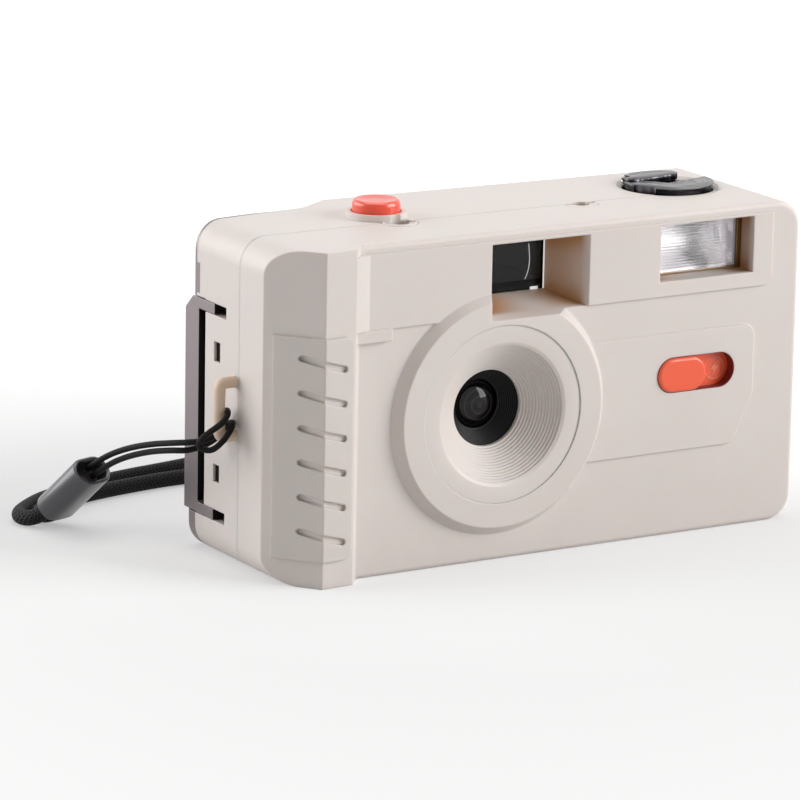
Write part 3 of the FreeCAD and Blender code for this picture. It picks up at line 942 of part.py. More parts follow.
def door_parts():
    """Pressure plate and its leaf spring on the door, light seals on the chassis, latch on the frame."""
    node("pressure_plate", block("pressure_plate", ("lens_x - plate_width / 2", "lens_x + plate_width / 2"),
                                 ("film_y + film_gap", "film_y + film_gap + plate_thick"),
                                 ("lens_z - plate_height / 2", "lens_z + plate_height / 2")))
    near = "(film_y + film_gap + plate_thick)"
    far = "(rear_y - door_skin)"
    rise = "leaf_thick"
    leaf = [("lens_x - leaf_half", near), ("lens_x - leaf_foot", near), ("lens_x - leaf_crest", far + " - " + rise),
            ("lens_x + leaf_crest", far + " - " + rise), ("lens_x + leaf_foot", near), ("lens_x + leaf_half", near),
            ("lens_x + leaf_half", near + " + " + rise), ("lens_x + leaf_foot + 0.2", near + " + " + rise),
            ("lens_x + leaf_crest + 0.1", far), ("lens_x - leaf_crest - 0.1", far),
            ("lens_x - leaf_foot - 0.2", near + " + " + rise), ("lens_x - leaf_half", near + " + " + rise)]
    node("pressure_spring", prism("pressure_spring", "XY_Plane", leaf, "lens_z - leaf_height / 2",
                                  "lens_z + leaf_height / 2"))
    seals = [block("seal_" + side, (LEFT + " + 8.5", RIGHT + " - 4.5"), ("film_y", "rear_y - door_depth - door_gap"), span)
             for side, span in (("low", ("door_low - 2.2", "door_low + 0.2")), ("high", ("chassis_top - 1.2", "chassis_top")))]
    pair = doc.addObject("Part::Compound", "light_seal")
    pair.Links = seals
    node("light_seal", pair)
    slide = block("latch_slide", ("door_right + door_gap + 0.6", RIGHT + " + 0.01"),
                  ("rim_y + 1.0", "rear_y - 1.3"), ("latch_low", "latch_high"))
    ribs = [block("latch_rib_%d" % index, (RIGHT + " - 0.5", RIGHT + " + latch_proud"), ("rim_y + 1.0", "rear_y - 1.3"),
                  ("latch_low + 1.0 + %d * 1.9" % index, "latch_low + 1.9 + %d * 1.9" % index)) for index in range(5)]
    node("door_latch", join("door_latch", slide, *ribs))


def battery_bay():
    """Battery holder, contacts and the hinged cover on the base with its pin."""
    cell = ("%s + cell_x" % LEFT, "cell_y")
    outer = rod("holder_outer", "z", cell, "wall", "cell_high + thin_wall", "cell_r + cell_wall")
    inner = rod("holder_inner", "z", cell, "wall - 1", "cell_high", "cell_r")
    node("battery_holder", cut("battery_holder", outer, inner))
    node("battery_contact", rod("battery_contact", "z", cell, "cell_high - 0.4", "cell_high", "cell_r - 0.5"))
    hinge_x = "%s + cell_x + cover_half + cover_hinge" % LEFT
    hinge_z = "(cover_hinge + 0.45)"
    plate = cover_plan("cover_plate", "0", "0.15", "cover_thick")
    knuckle = rod("cover_barrel", "y", (hinge_x, hinge_z), "cell_y - cover_near", "cell_y + cover_half", "cover_hinge")
    node("battery_cover", cut("battery_cover", join("battery_cover_full", plate, knuckle),
                              rod("cover_bore", "y", (hinge_x, hinge_z), "cell_y - cover_half - 1",
                                  "cell_y + cover_half + 1", "cover_pin + bearing_gap")))
    node("battery_cover_pin", rod("battery_cover_pin", "y", (hinge_x, hinge_z), "cell_y - cover_near - cover_gap - 0.5",
                                  "cell_y + cover_half + cover_gap + 0.9", "cover_pin"))
    node("battery_spring", turned("battery_spring", "z", cell,
                                  [("1.6", "cover_thick"), ("4.0", "cover_thick"), ("4.0", "cover_thick + 0.3"),
                                   ("1.9", "cover_thick + 2.6"), ("1.2", "cover_thick + 2.6"),
                                   ("1.2", "cover_thick + 2.3"), ("1.6", "cover_thick + 2.3"),
                                   ("3.4", "cover_thick + 0.3"), ("1.6", "cover_thick + 0.3")]))


def release_and_screws():
    """Rewind release button on the base, and the screws in the top wells."""
    drum = ("sprocket_x", "film_y - sprocket_r")
    node("rewind_release", turned("rewind_release", "z", drum,
                                  [("0", "0.3"), ("release_r - 0.4", "0.3"), ("release_r", "0.7"),
                                   ("release_r", "1.2"), ("release_r * 0.5", "1.2"),
                                   ("release_r * 0.5", "wall + 2.6"), ("0", "wall + 2.6")]))
    screws = []
    for side, x in (("left", "well_left_x"), ("right", "well_right_x")):
        screw = turned("screw_" + side, "z", (x, "well_y"),
                       [("0", "body_height - well_deep - wall"), ("screw_r / 2", "body_height - well_deep - wall"),
                        ("screw_r / 2", "body_height - well_deep"), ("screw_r", "body_height - well_deep"),
                        ("screw_r - 0.3", "body_height - well_deep + 0.9"), ("0", "body_height - well_deep + 0.9")])
        screws.append(screw)
    pair = doc.addObject("Part::Compound", "case_screws")
    pair.Links = screws
    node("case_screws", pair)


STRING_ROUTE = [(-70.4, 31.7, 13.2), (-69.8, 26.6, 16.2), (-69.0, 19.2, 19.0), (-68.0, 11.2, 22.0),
                (-66.6, 3.8, 24.1), (-65.0, -0.6, 25.6), (-63.4, -3.9, 27.4), (-60.6, -4.3, 29.7), (-58.3, -2.6, 30.9),
                (-58.2, 0.6, 29.5), (-58.9, 1.5, 26.3), (-59.5, 0.4, 23.5), (-61.0, -2.9, 23.2), (-63.6, -3.8, 24.0),
                (-65.7, -1.4, 24.0), (-66.8, 3.8, 22.8), (-68.0, 11.2, 20.2), (-69.0, 19.2, 17.3),
                (-69.6, 26.0, 14.3), (-70.0, 30.5, 11.9)]
CORD_ROUTE = [(-74.3, 38.8, 4.7), (-75.6, 40.4, 2.7), (-77.6, 42.6, 1.6), (-77.9, 46.2, 1.5), (-74.6, 50.0, 1.5),
              (-67.2, 55.8, 1.5), (-50.5, 61.9, 1.5), (-32.2, 64.6, 1.5), (-10.5, 69.8, 1.5), (12.0, 73.8, 1.5),
              (24.1, 75.6, 1.5), (30.2, 72.6, 1.5), (33.2, 66.7, 1.5), (32.2, 60.2, 1.5), (27.5, 55.5, 1.5),
              (15.2, 53.5, 1.5), (-8.0, 54.6, 1.5), (-35.6, 57.8, 1.5), (-50.5, 55.9, 1.5), (-60.0, 53.7, 1.5),
              (-66.5, 51.0, 1.5), (-70.8, 48.6, 1.5), (-73.4, 46.6, 1.5), (-73.8, 43.5, 1.55), (-72.0, 41.2, 2.5),
              (-71.3, 40.0, 4.45)]
SLEEVE_TOP = V(-70.0, 30.4, 13.2)
SLEEVE_LOW = V(-73.0, 40.0, 4.0)


def tube(name, route, radius):
    """Cord: straight runs joined by tangent arcs, as round a section as its runs allow."""
    points = [V(*point) for point in route]
    edges = []
    start = points[0]
    radii = []
    for before, corner, after in zip(points, points[1:], points[2:]):
        first = corner - before
        second = after - corner
        turn = first.getAngle(second)
        arc_radius = 0.45 * min(first.Length, second.Length) / math.tan(turn / 2)
        reach = 0.45 * min(first.Length, second.Length)
        first.normalize()
        second.normalize()
        begin = corner - first * reach
        end = corner + second * reach
        inward = (second - first).normalize()
        middle = corner + inward * (arc_radius / math.cos(turn / 2) - arc_radius)
        edges.append(Part.LineSegment(start, begin).toShape())
        edges.append(Part.Arc(begin, middle, end).toShape())
        radii.append(arc_radius)
        start = end
    edges.append(Part.LineSegment(start, points[-1]).toShape())
    path = Part.Wire(edges)
    section = Part.Wire([Part.makeCircle(radius, points[0], points[1] - points[0])])
    solid = path.makePipeShell([section], True, False)
    item = doc.addObject("Part::Feature", name)
    item.Shape = solid
    node(name, item)
    ideal = math.pi * radius ** 2 * path.Length
    print(name, "length %.1f" % path.Length, "volume ratio %.4f" % (abs(solid.Volume) / ideal),
          "radii", " ".join("%.1f" % value for value in radii))


def wrist_strap():
    """String round the lug, flattened sleeve, and the braided cord that lies on the table."""
    tube("strap_string", STRING_ROUTE, SIZES["string_r"])
    tube("strap_cord", CORD_ROUTE, SIZES["cord_r"])
    top = SLEEVE_TOP
    along = SLEEVE_LOW - SLEEVE_TOP
    long = along.Length
    along.normalize()
    across = along.cross(V(0, 0, 1)).normalize()
    thick = SIZES["sleeve_thick"] / 2
    reach = SIZES["sleeve_width"] / 2 - thick
    over = along.cross(across)
    corners = [top + across * reach + over * thick, top + across * (reach + thick), top + across * reach - over * thick,
               top - across * reach - over * thick, top - across * (reach + thick), top - across * reach + over * thick]
    ring = Part.Wire([Part.Arc(corners[0], corners[1], corners[2]).toShape(),
                      Part.LineSegment(corners[2], corners[3]).toShape(),
                      Part.Arc(corners[3], corners[4], corners[5]).toShape(),
                      Part.LineSegment(corners[5], corners[0]).toShape()])
    sleeve = doc.addObject("Part::Feature", "strap_sleeve")
    sleeve.Shape = Part.Face(ring).extrude(along * long)
    node("strap_sleeve", sleeve)


def write_parts():
    """Checks every object and writes each named piece."""
    doc.recompute()
    for item in doc.Objects:
        if "Invalid" in item.State or "Error" in item.State:
            raise RuntimeError("failed: %s %s" % (item.Name, item.State))
    os.makedirs("parts", exist_ok=True)
    for name, item in NODES.items():
        shape = item.Shape
        if shape.isNull() or not shape.isValid() or not shape.Solids:
            raise RuntimeError("bad shape: " + name)
        shape.exportStep("parts/%s.step" % name)
    print(len(NODES), "pieces")


front_cover()
grip_pad()
mid_body()
rear_frame()
strap_lug()
chassis()
lens_bezel()
lens_barrel()
disc_lens("front_lens", ("lens_x", "lens_z"), "front_lens_y", "front_lens_y + front_lens_thick", "front_lens_r", "0.7")
disc_lens("rear_lens", ("lens_x", "lens_z"), "chassis_front", "chassis_front + rear_lens_thick", "rear_lens_r", "0.3")
shutter()
viewfinder()
flash()
flash_switch()
shutter_button()
rewind()
thumb_wheel()
sprocket()
film_door()
hinge_pins()
door_parts()
battery_bay()
release_and_screws()
wrist_strap()
write_parts()
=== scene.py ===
import bpy
import bmesh
import math
from mathutils import Matrix, Vector


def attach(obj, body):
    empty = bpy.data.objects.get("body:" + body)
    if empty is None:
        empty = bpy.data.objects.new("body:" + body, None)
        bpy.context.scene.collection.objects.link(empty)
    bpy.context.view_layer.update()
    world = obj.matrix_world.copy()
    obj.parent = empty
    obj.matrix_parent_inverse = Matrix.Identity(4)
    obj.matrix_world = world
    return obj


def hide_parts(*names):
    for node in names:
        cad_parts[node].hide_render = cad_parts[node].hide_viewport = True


# Reusable film camera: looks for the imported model, in the model's own frame:
# +X along the body, +Y from the lens to the film door, +Z up from the table.
# Sizes and places are written in millimetres and turned to metres with MM where they are used.

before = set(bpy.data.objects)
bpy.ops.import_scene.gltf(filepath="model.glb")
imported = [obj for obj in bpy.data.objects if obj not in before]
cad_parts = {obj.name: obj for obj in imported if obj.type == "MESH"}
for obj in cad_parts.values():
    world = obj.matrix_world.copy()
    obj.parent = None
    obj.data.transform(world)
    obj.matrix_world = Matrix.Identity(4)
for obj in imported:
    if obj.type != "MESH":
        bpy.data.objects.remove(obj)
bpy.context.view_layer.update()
MM = 0.001

# The photograph's viewpoint, found from the body's edges: metres, degrees, and a lens in mm.
VIEW_PLACE = (-0.5016, -0.79885, 0.25784)
VIEW_TURN = -31.04
VIEW_TILT = 13.844
VIEW_ROLL = 1.065
VIEW_LENS = 229.9

# Strap: the routes of part.py, with the string moved at the lug to follow the photographed hitch.
STRING_DIAMETER = 1.15
STRING_POINTS = [
    (-70.4, 31.7, 13.2), (-69.8, 26.6, 16.5), (-69.0, 19.2, 19.8), (-68.0, 11.2, 22.4),
    (-66.9, 4.6, 24.0), (-65.6, 1.6, 24.6), (-63.6, 0.8, 24.7), (-61.6, 0.65, 24.9),
    (-60.0, 0.6, 25.5), (-59.0, 0.55, 27.2), (-58.8, 0.3, 29.2), (-58.7, -1.2, 30.8),
    (-59.6, -3.5, 30.6), (-60.9, -4.2, 29.4), (-62.4, -4.3, 28.5), (-64.1, -4.2, 27.6),
    (-65.2, -3.6, 26.5), (-65.4, -2.6, 25.2), (-64.7, -2.7, 24.2), (-63.3, -3.9, 24.0),
    (-61.6, -4.2, 25.2), (-60.2, -4.1, 26.5), (-58.8, -3.4, 27.9), (-57.65, -1.5, 28.4),
    (-57.62, 0.5, 27.4), (-58.0, 2.0, 25.5), (-59.6, 2.1, 24.2), (-61.8, 1.9, 23.5),
    (-64.2, 1.8, 23.1), (-65.6, 2.3, 22.9), (-66.9, 4.6, 22.6), (-68.0, 11.2, 21.0),
    (-69.0, 19.2, 18.2), (-69.6, 26.0, 14.9), (-70.0, 30.5, 11.9)]
STRING_SIDES = 20
CORD_DIAMETER = 3.0
CORD_POINTS = [
    (-74.3, 38.8, 4.7), (-75.6, 40.4, 2.7), (-77.6, 42.6, 1.6), (-77.9, 46.2, 1.5),
    (-74.6, 50.0, 1.5), (-67.2, 55.8, 1.5), (-50.5, 61.9, 1.5), (-32.2, 64.6, 1.5),
    (-10.5, 69.8, 1.5), (12.0, 73.8, 1.5), (24.1, 75.6, 1.5), (30.2, 72.6, 1.5),
    (33.2, 66.7, 1.5), (32.2, 60.2, 1.5), (27.5, 55.5, 1.5), (15.2, 53.5, 1.5),
    (-8.0, 54.6, 1.5), (-35.6, 57.8, 1.5), (-50.5, 55.9, 1.5), (-60.0, 53.7, 1.5),
    (-66.5, 51.0, 1.5), (-70.8, 48.6, 1.5), (-73.4, 46.6, 1.5), (-73.8, 43.5, 1.55),
    (-72.0, 41.2, 2.5), (-71.3, 40.0, 4.45)]
CORD_SIDES = 28
CLIP_TOP = Vector((-70.0, 30.4, 13.2)) * MM
CLIP_LOW = Vector((-73.0, 40.0, 4.0)) * MM
CLIP_WIDTH = 8.8 * MM
CLIP_THICK = 5.8 * MM

# Places that the added pieces share with the model.
LENS_X, LENS_Z = -10.4, 28.5
FLASH_LEFT, FLASH_RIGHT, FLASH_LOW, FLASH_HIGH = 24.7, 45.9, 49.9, 60.8
SLOT_LEFT, SLOT_RIGHT, SLOT_Z, SLOT_WIDE = 24.8, 42.4, 31.5, 6.9
KNOB = (40.9, 4.0)
WELLS = [(-23.5, -3.3, 57.95), (16.3, -3.3, 57.95)]


# Materials

# Noise scales per metre: flow marks in moulded plastic 18 mm across, unevenness of clear plastic
# 11 mm, the brown cloud on the foil 4 mm and its folds 2.4 mm, dust on the lens 1.1 mm and fluff
# on the cords 0.25 mm. Dust and fluff are drawn coarser than they are, so that they show.
FLOW_SCALE = 55.0
UNEVEN_SCALE = 90.0
CLOUD_SCALE = 260.0
FOLD_SCALE = 420.0
DUST_SCALE = 900.0
FLUFF_SCALE = 4000.0
# Rays for the softened edges and for the shade in hollows.
SOFT_SAMPLES = 6
# How far light bleeds inside plastic, by colour and in all.
BLEED_COLOURS = (1.0, 0.5, 0.28)
BLEED_REACH = 1.6
# Painted warm shade in hollows: how far it looks for walls, how shut in it starts and is full,
# and the depths in y between which it comes in.
HOLLOW_REACH = 9.0
HOLLOW_START, HOLLOW_FULL = 0.97, 0.65
HOLLOW_FRONT, HOLLOW_BACK = -18.0, -16.6
# Foil: the tube's place as a share of its width, how far the cloud wavers, how far from the tube
# brown fades out and crinkles fade in, and how high they are.
TUBE_PLACE = 0.65
CLOUD_WAVER = 5.0
BROWN_START, BROWN_END = 3.0, 6.5
CRINKLE_START, CRINKLE_FULL, CRINKLE_HEIGHT = 2.5, 4.0, 0.6


def paint(code):
    """An sRGB hex colour as the linear values that Blender reads."""
    channels = [int(code[place:place + 2], 16) / 255 for place in (1, 3, 5)]
    linear = [c / 12.92 if c <= 0.04045 else ((c + 0.055) / 1.055) ** 2.4 for c in channels]
    return (*linear, 1.0)


def add(tree, kind, wires=None, **settings):
    """Adds a node: settings are its properties, wires its sockets.

    A socket takes a plain value, a node's output, or a node, which stands for its first output.
    """
    item = tree.nodes.new(kind)
    for name, value in settings.items():
        setattr(item, name, value)
    for name, value in (wires or {}).items():
        source = value.outputs[0] if isinstance(value, bpy.types.Node) else value
        if isinstance(source, bpy.types.NodeSocket):
            tree.links.new(source, item.inputs[name])
        else:
            item.inputs[name].default_value = source
    return item


def new_finish(name):
    """An empty material: itself, its tree and the piece's own coordinates."""
    material = bpy.data.materials.new(name)
    material.use_nodes = True
    tree = material.node_tree
    tree.nodes.clear()
    return material, tree, add(tree, "ShaderNodeTexCoord").outputs["Object"]


def soft_relief(tree, pattern, depth, edge):
    """Edges that look rounded by edge mm, and a pattern raised by depth mm."""
    soft = add(tree, "ShaderNodeBevel", {"Radius": edge * MM}, samples=SOFT_SAMPLES)
    return add(tree, "ShaderNodeBump",
               {"Height": pattern, "Distance": depth * MM, "Normal": soft})


def off_axis(tree, place, axes, centre):
    """How far a point lies from a straight axis through centre, measured along the two axes."""
    split = add(tree, "ShaderNodeSeparateXYZ", {"Vector": place})
    first, second = (add(tree, "ShaderNodeMath", {0: split.outputs[axis], 1: -middle * MM},
                         operation="ADD") for axis, middle in zip(axes, centre))
    flat = add(tree, "ShaderNodeCombineXYZ", {"X": first, "Y": second})
    return add(tree, "ShaderNodeVectorMath", {0: flat}, operation="LENGTH").outputs["Value"]


def moulded(name, colour, shade, roughness, grain=0.16, depth=0.012, edge=0.25, specular=0.5,
            coat=0.0, metallic=0.0, bleed=0.0, warm=None, glow=0.0):
    """Injection-moulded plastic: spark-eroded grain, faint flow marks and soft edges.

    grain, depth and edge are in mm; warm is the colour of the warm shade painted deep in a hollow.
    """
    material, tree, place = new_finish(name)
    flow = add(tree, "ShaderNodeTexNoise",
               {"Vector": place, "Scale": FLOW_SCALE, "Detail": 3.0, "Roughness": 0.5})
    skin = add(tree, "ShaderNodeMix", {0: flow, 6: paint(colour), 7: paint(shade)},
               data_type="RGBA").outputs[2]
    if warm:
        # Painted warm shade: where occlusion finds walls close by, behind the front, the colour
        # turns warm.
        hollow = add(tree, "ShaderNodeAmbientOcclusion", {"Distance": HOLLOW_REACH * MM},
                     samples=SOFT_SAMPLES, only_local=True)
        deep = add(tree, "ShaderNodeMapRange", {"Value": hollow.outputs["AO"],
                                                "From Min": HOLLOW_START, "From Max": HOLLOW_FULL})
        split = add(tree, "ShaderNodeSeparateXYZ", {"Vector": place})
        behind = add(tree, "ShaderNodeMapRange",
                     {"Value": split.outputs["Y"], "From Min": HOLLOW_FRONT * MM,
                      "From Max": HOLLOW_BACK * MM})
        part = add(tree, "ShaderNodeMath", {0: deep, 1: behind}, operation="MULTIPLY")
        skin = add(tree, "ShaderNodeMix", {0: part, 6: skin, 7: paint(warm)},
                   data_type="RGBA").outputs[2]
    sparks = add(tree, "ShaderNodeTexNoise", {"Vector": place, "Scale": 1 / (grain * MM),
                                              "Detail": 2.0, "Roughness": 0.6})
    wear = add(tree, "ShaderNodeMapRange",
               {"Value": sparks, "To Min": roughness - 0.05, "To Max": roughness + 0.07})
    shader = add(tree, "ShaderNodeBsdfPrincipled", {
        "Base Color": skin, "Roughness": wear, "Normal": soft_relief(tree, sparks, depth, edge),
        "Specular IOR Level": specular, "Coat Weight": coat, "Coat Roughness": 0.12,
        "Metallic": metallic, "Subsurface Weight": bleed, "Subsurface Radius": BLEED_COLOURS,
        "Subsurface Scale": BLEED_REACH * MM, "Emission Color": paint("#ffffff"),
        "Emission Strength": glow})
    add(tree, "ShaderNodeOutputMaterial", {"Surface": shader})
    return material


def metal(name, colour, shade, roughness, grain, depth, edge):
    """Bare metal with fine marks left by rolling or turning; grain, depth and edge are in mm."""
    material, tree, place = new_finish(name)
    marks = add(tree, "ShaderNodeTexNoise",
                {"Vector": place, "Scale": 1 / (grain * MM), "Detail": 3.0})
    tint = add(tree, "ShaderNodeMix", {0: marks, 6: paint(colour), 7: paint(shade)},
               data_type="RGBA")
    wear = add(tree, "ShaderNodeMapRange",
               {"Value": marks, "To Min": roughness - 0.06, "To Max": roughness + 0.06})
    shader = add(tree, "ShaderNodeBsdfPrincipled", {
        "Base Color": tint.outputs[2], "Metallic": 1.0, "Roughness": wear,
        "Normal": soft_relief(tree, marks, depth, edge)})
    add(tree, "ShaderNodeOutputMaterial", {"Surface": shader})
    return material


def clear(name, colour, roughness, index):
    """Clear moulded plastic with an unevenness of 0.002 mm, too small to see but in its gloss."""
    material, tree, place = new_finish(name)
    swirl = add(tree, "ShaderNodeTexNoise", {"Vector": place, "Scale": UNEVEN_SCALE, "Detail": 1.0})
    bumps = add(tree, "ShaderNodeBump", {"Height": swirl, "Distance": 0.002 * MM})
    tint = add(tree, "ShaderNodeMix", {0: swirl, 6: paint(colour), 7: paint("#ffffff")},
               data_type="RGBA")
    shader = add(tree, "ShaderNodeBsdfPrincipled", {
        "Base Color": tint.outputs[2], "Roughness": roughness, "IOR": index,
        "Transmission Weight": 1.0, "Normal": bumps})
    add(tree, "ShaderNodeOutputMaterial", {"Surface": shader})
    return material


def foil(name, colour, shade, roughness):
    """Pressed foil: crinkled, silver at its ends and dark brown along the tube's line, with a faint
    painted glow.
    """
    material, tree, place = new_finish(name)
    middle = (FLASH_LEFT * (1 - TUBE_PLACE) + FLASH_RIGHT * TUBE_PLACE) * MM
    split = add(tree, "ShaderNodeSeparateXYZ", {"Vector": place})
    away = add(tree, "ShaderNodeMath", {0: split.outputs["X"], 1: -middle}, operation="ADD")
    side = add(tree, "ShaderNodeMath", {0: away}, operation="ABSOLUTE")
    cloud = add(tree, "ShaderNodeTexNoise", {"Vector": place, "Scale": CLOUD_SCALE, "Detail": 3.0})
    waver = add(tree, "ShaderNodeMath", {0: cloud, 1: CLOUD_WAVER * MM, 2: side},
                operation="MULTIPLY_ADD")
    brown = add(tree, "ShaderNodeMapRange", {"Value": waver, "From Min": BROWN_START * MM,
                                             "From Max": BROWN_END * MM,
                                             "To Min": 1.0, "To Max": 0.0})
    tint = add(tree, "ShaderNodeMix", {0: brown, 6: paint(colour), 7: paint(shade)},
               data_type="RGBA")
    folds = add(tree, "ShaderNodeTexVoronoi", {"Vector": place, "Scale": FOLD_SCALE})
    end = add(tree, "ShaderNodeMapRange", {"Value": split.outputs["X"],
                                           "From Min": middle + CRINKLE_START * MM,
                                           "From Max": middle + CRINKLE_FULL * MM})
    crinkle = add(tree, "ShaderNodeMath", {0: folds, 1: end}, operation="MULTIPLY")
    bumps = add(tree, "ShaderNodeBump", {"Height": crinkle, "Distance": CRINKLE_HEIGHT * MM})
    wear = add(tree, "ShaderNodeMapRange",
               {"Value": cloud, "To Min": roughness - 0.06, "To Max": roughness + 0.08})
    # Painted glow: the foil gives off a little light in its own colour.
    shader = add(tree, "ShaderNodeBsdfPrincipled", {
        "Base Color": tint.outputs[2], "Metallic": 0.35, "Emission Color": tint.outputs[2],
        "Emission Strength": 0.1, "Roughness": wear, "Normal": bumps})
    add(tree, "ShaderNodeOutputMaterial", {"Surface": shader})
    return material


def turned_lacquer(name, colour, shade, roughness, grain, depth, edge):
    """Lacquer over turning marks: rings round the knob's axis; grain, depth and edge in mm."""
    material, tree, place = new_finish(name)
    rings = add(tree, "ShaderNodeCombineXYZ", {"X": off_axis(tree, place, ("X", "Y"), KNOB)})
    drift = add(tree, "ShaderNodeVectorMath", {0: place, 1: (0.12, 0.12, 0.12)},
                operation="MULTIPLY")
    mixed = add(tree, "ShaderNodeVectorMath", {0: rings, 1: drift}, operation="ADD")
    marks = add(tree, "ShaderNodeTexNoise",
                {"Vector": mixed, "Scale": 1 / (grain * MM), "Detail": 3.0})
    level = add(tree, "ShaderNodeMapRange", {"Value": marks, "From Min": 0.42, "From Max": 0.62})
    tint = add(tree, "ShaderNodeMix", {0: level, 6: paint(shade), 7: paint(colour)},
               data_type="RGBA")
    wear = add(tree, "ShaderNodeMapRange",
               {"Value": marks, "To Min": roughness + 0.1, "To Max": roughness - 0.08})
    shader = add(tree, "ShaderNodeBsdfPrincipled", {
        "Base Color": tint.outputs[2], "Metallic": 0.9, "Roughness": wear,
        "Normal": soft_relief(tree, marks, depth, edge)})
    add(tree, "ShaderNodeOutputMaterial", {"Surface": shader})
    return material


def coated_glass(name, colour, glint, spacing):
    """Dark lens glass over a black bore, with painted highlights of the mount's rings, spacing mm
    apart.
    """
    material, tree, place = new_finish(name)
    far = off_axis(tree, place, ("X", "Z"), (LENS_X, LENS_Z))
    # Painted highlight: lighter rings round the lens axis, for the mount's lit rings behind the
    # glass.
    phase = add(tree, "ShaderNodeMath", {0: far, 1: 2 * math.pi / (spacing * MM)},
                operation="MULTIPLY")
    rings = add(tree, "ShaderNodeMath", {0: phase}, operation="SINE")
    level = add(tree, "ShaderNodeMapRange", {"Value": rings, "From Min": 0.2, "From Max": 1.0})
    tint = add(tree, "ShaderNodeMix", {0: level, 6: paint(colour), 7: paint(glint)},
               data_type="RGBA")
    dust = add(tree, "ShaderNodeTexNoise", {"Vector": place, "Scale": DUST_SCALE, "Detail": 2.0})
    wear = add(tree, "ShaderNodeMapRange", {"Value": dust, "To Min": 0.03, "To Max": 0.07})
    shader = add(tree, "ShaderNodeBsdfPrincipled", {
        "Base Color": tint.outputs[2], "Roughness": wear, "Specular IOR Level": 0.12,
        "Coat Weight": 0.3, "Coat Roughness": 0.02})
    add(tree, "ShaderNodeOutputMaterial", {"Surface": shader})
    return material


def braid(name, colour, shade, pitch, around, depth):
    """Two crossing sets of strands on a cord's own map, which is in metres, with painted shade
    between them.

    pitch is the strands' spacing along the cord in mm, around the turn in radians for each metre
    round it, and depth the height of a strand in mm.
    """
    material, tree, place = new_finish(name)
    flat = add(tree, "ShaderNodeUVMap", uv_map="along")
    split = add(tree, "ShaderNodeSeparateXYZ", {"Vector": flat})
    waves = []
    for sign in (1, -1):
        turn = add(tree, "ShaderNodeMath", {0: split.outputs["Y"], 1: sign * around},
                   operation="MULTIPLY")
        run = add(tree, "ShaderNodeMath",
                  {0: split.outputs["X"], 1: 2 * math.pi / (pitch * MM), 2: turn},
                  operation="MULTIPLY_ADD")
        waves.append(add(tree, "ShaderNodeMath", {0: run}, operation="SINE"))
    height = add(tree, "ShaderNodeMath", {0: waves[0], 1: waves[1]}, operation="MAXIMUM")
    level = add(tree, "ShaderNodeMapRange", {"Value": height, "From Min": -0.4, "From Max": 1.0})
    fluff = add(tree, "ShaderNodeTexNoise", {"Vector": place, "Scale": FLUFF_SCALE, "Detail": 2.0})
    # Painted shade: the low parts between strands take the dark colour.
    tint = add(tree, "ShaderNodeMix", {0: level, 6: paint(shade), 7: paint(colour)},
               data_type="RGBA")
    rough = add(tree, "ShaderNodeMapRange", {"Value": fluff, "To Min": 0.45, "To Max": 0.65})
    bumps = add(tree, "ShaderNodeBump", {"Height": height, "Distance": depth * MM})
    shader = add(tree, "ShaderNodeBsdfPrincipled", {
        "Base Color": tint.outputs[2], "Roughness": rough, "Normal": bumps,
        "Specular IOR Level": 0.14})
    add(tree, "ShaderNodeOutputMaterial", {"Surface": shader})
    return material


# Warm light ABS with a satin spark-eroded surface: even, chalky, with soft lights on its edges.
# Its grain is drawn at 0.16 mm, coarser than the real one, so that it shows in a render.
BEIGE_ABS = moulded("beige_abs_satin", "#e1d9d4", "#dcd3ce", 0.42, edge=0.4, bleed=0.3)
# The front cover is the same plastic, with warm shade painted into the hollows of its windows.
COVER_ABS = moulded("beige_abs_cover_hollow_shade", "#e1d9d4", "#dcd3ce", 0.42, edge=0.4, bleed=0.3,
                    warm="#b98b5e")
# The strap lug is a separate staple in a warm tan ABS, satin and a little darker in its bends.
TAN_ABS = moulded("tan_abs_lug", "#dcc8b4", "#d3bda8", 0.4, grain=0.2, depth=0.01, edge=0.4,
                  bleed=0.4)
# The grip pad is the same ABS with a slightly rougher grain.
GRIP_ABS = moulded("beige_abs_grip", "#dcd4cf", "#d5ccc6", 0.5, grain=0.2, depth=0.02, edge=0.45,
                   bleed=0.3)
# ABS with a gunmetal paint: fine metal flake, mauve-grey, with soft bright edges.
DARK_ABS = moulded("gunmetal_painted_abs", "#8d8385", "#7f7678", 0.36, grain=0.12, depth=0.006,
                   metallic=0.65)
# Matt black ABS of the film chambers and the inner works: it swallows light.
# The same black also paints shade: plates, faces and crosses put where shadow falls.
BLACK_ABS_AND_SHADE = moulded("black_abs_matt_and_shade", "#0d0c0c", "#080707", 0.6, grain=0.2, depth=0.015,
                    specular=0.08)
# The same black ABS, smooth on the barrel's baffles so that each step shows a thin light line.
BARREL_ABS = moulded("black_abs_baffles", "#0f0d0d", "#090808", 0.36, grain=0.3, depth=0.004,
                     edge=0.05, specular=0.16)
# Painted brown shade, on a ring in the narrow gap round the lens bezel.
GAP_SHADE = moulded("bezel_gap_shade", "#b39a86", "#a88d78", 0.6)
# Glossy orange ABS, bright and a little translucent at its edges.
ORANGE_ABS = moulded("orange_abs_gloss", "#f34c22", "#ed431c", 0.3, grain=0.3, depth=0.003,
                     edge=0.16, coat=0.6, bleed=0.25)
# The flash switch is the same plastic in a slightly yellower batch.
SWITCH_ABS = moulded("orange_abs_switch", "#fc643c", "#f85d36", 0.3, grain=0.3, depth=0.003,
                     edge=0.35, coat=0.3, bleed=0.25)
# The mark on the switch is the same plastic with a worn, paler face.
ORANGE_WORN = moulded("orange_abs_worn", "#ff9a78", "#fb8a64", 0.35, grain=0.3, depth=0.003)
# Painted deep red shade on the walls of the slot, where the orange slide would throw it.
SLOT_SHADE = moulded("slot_wall_red", "#7c1f17", "#6a1812", 0.5)
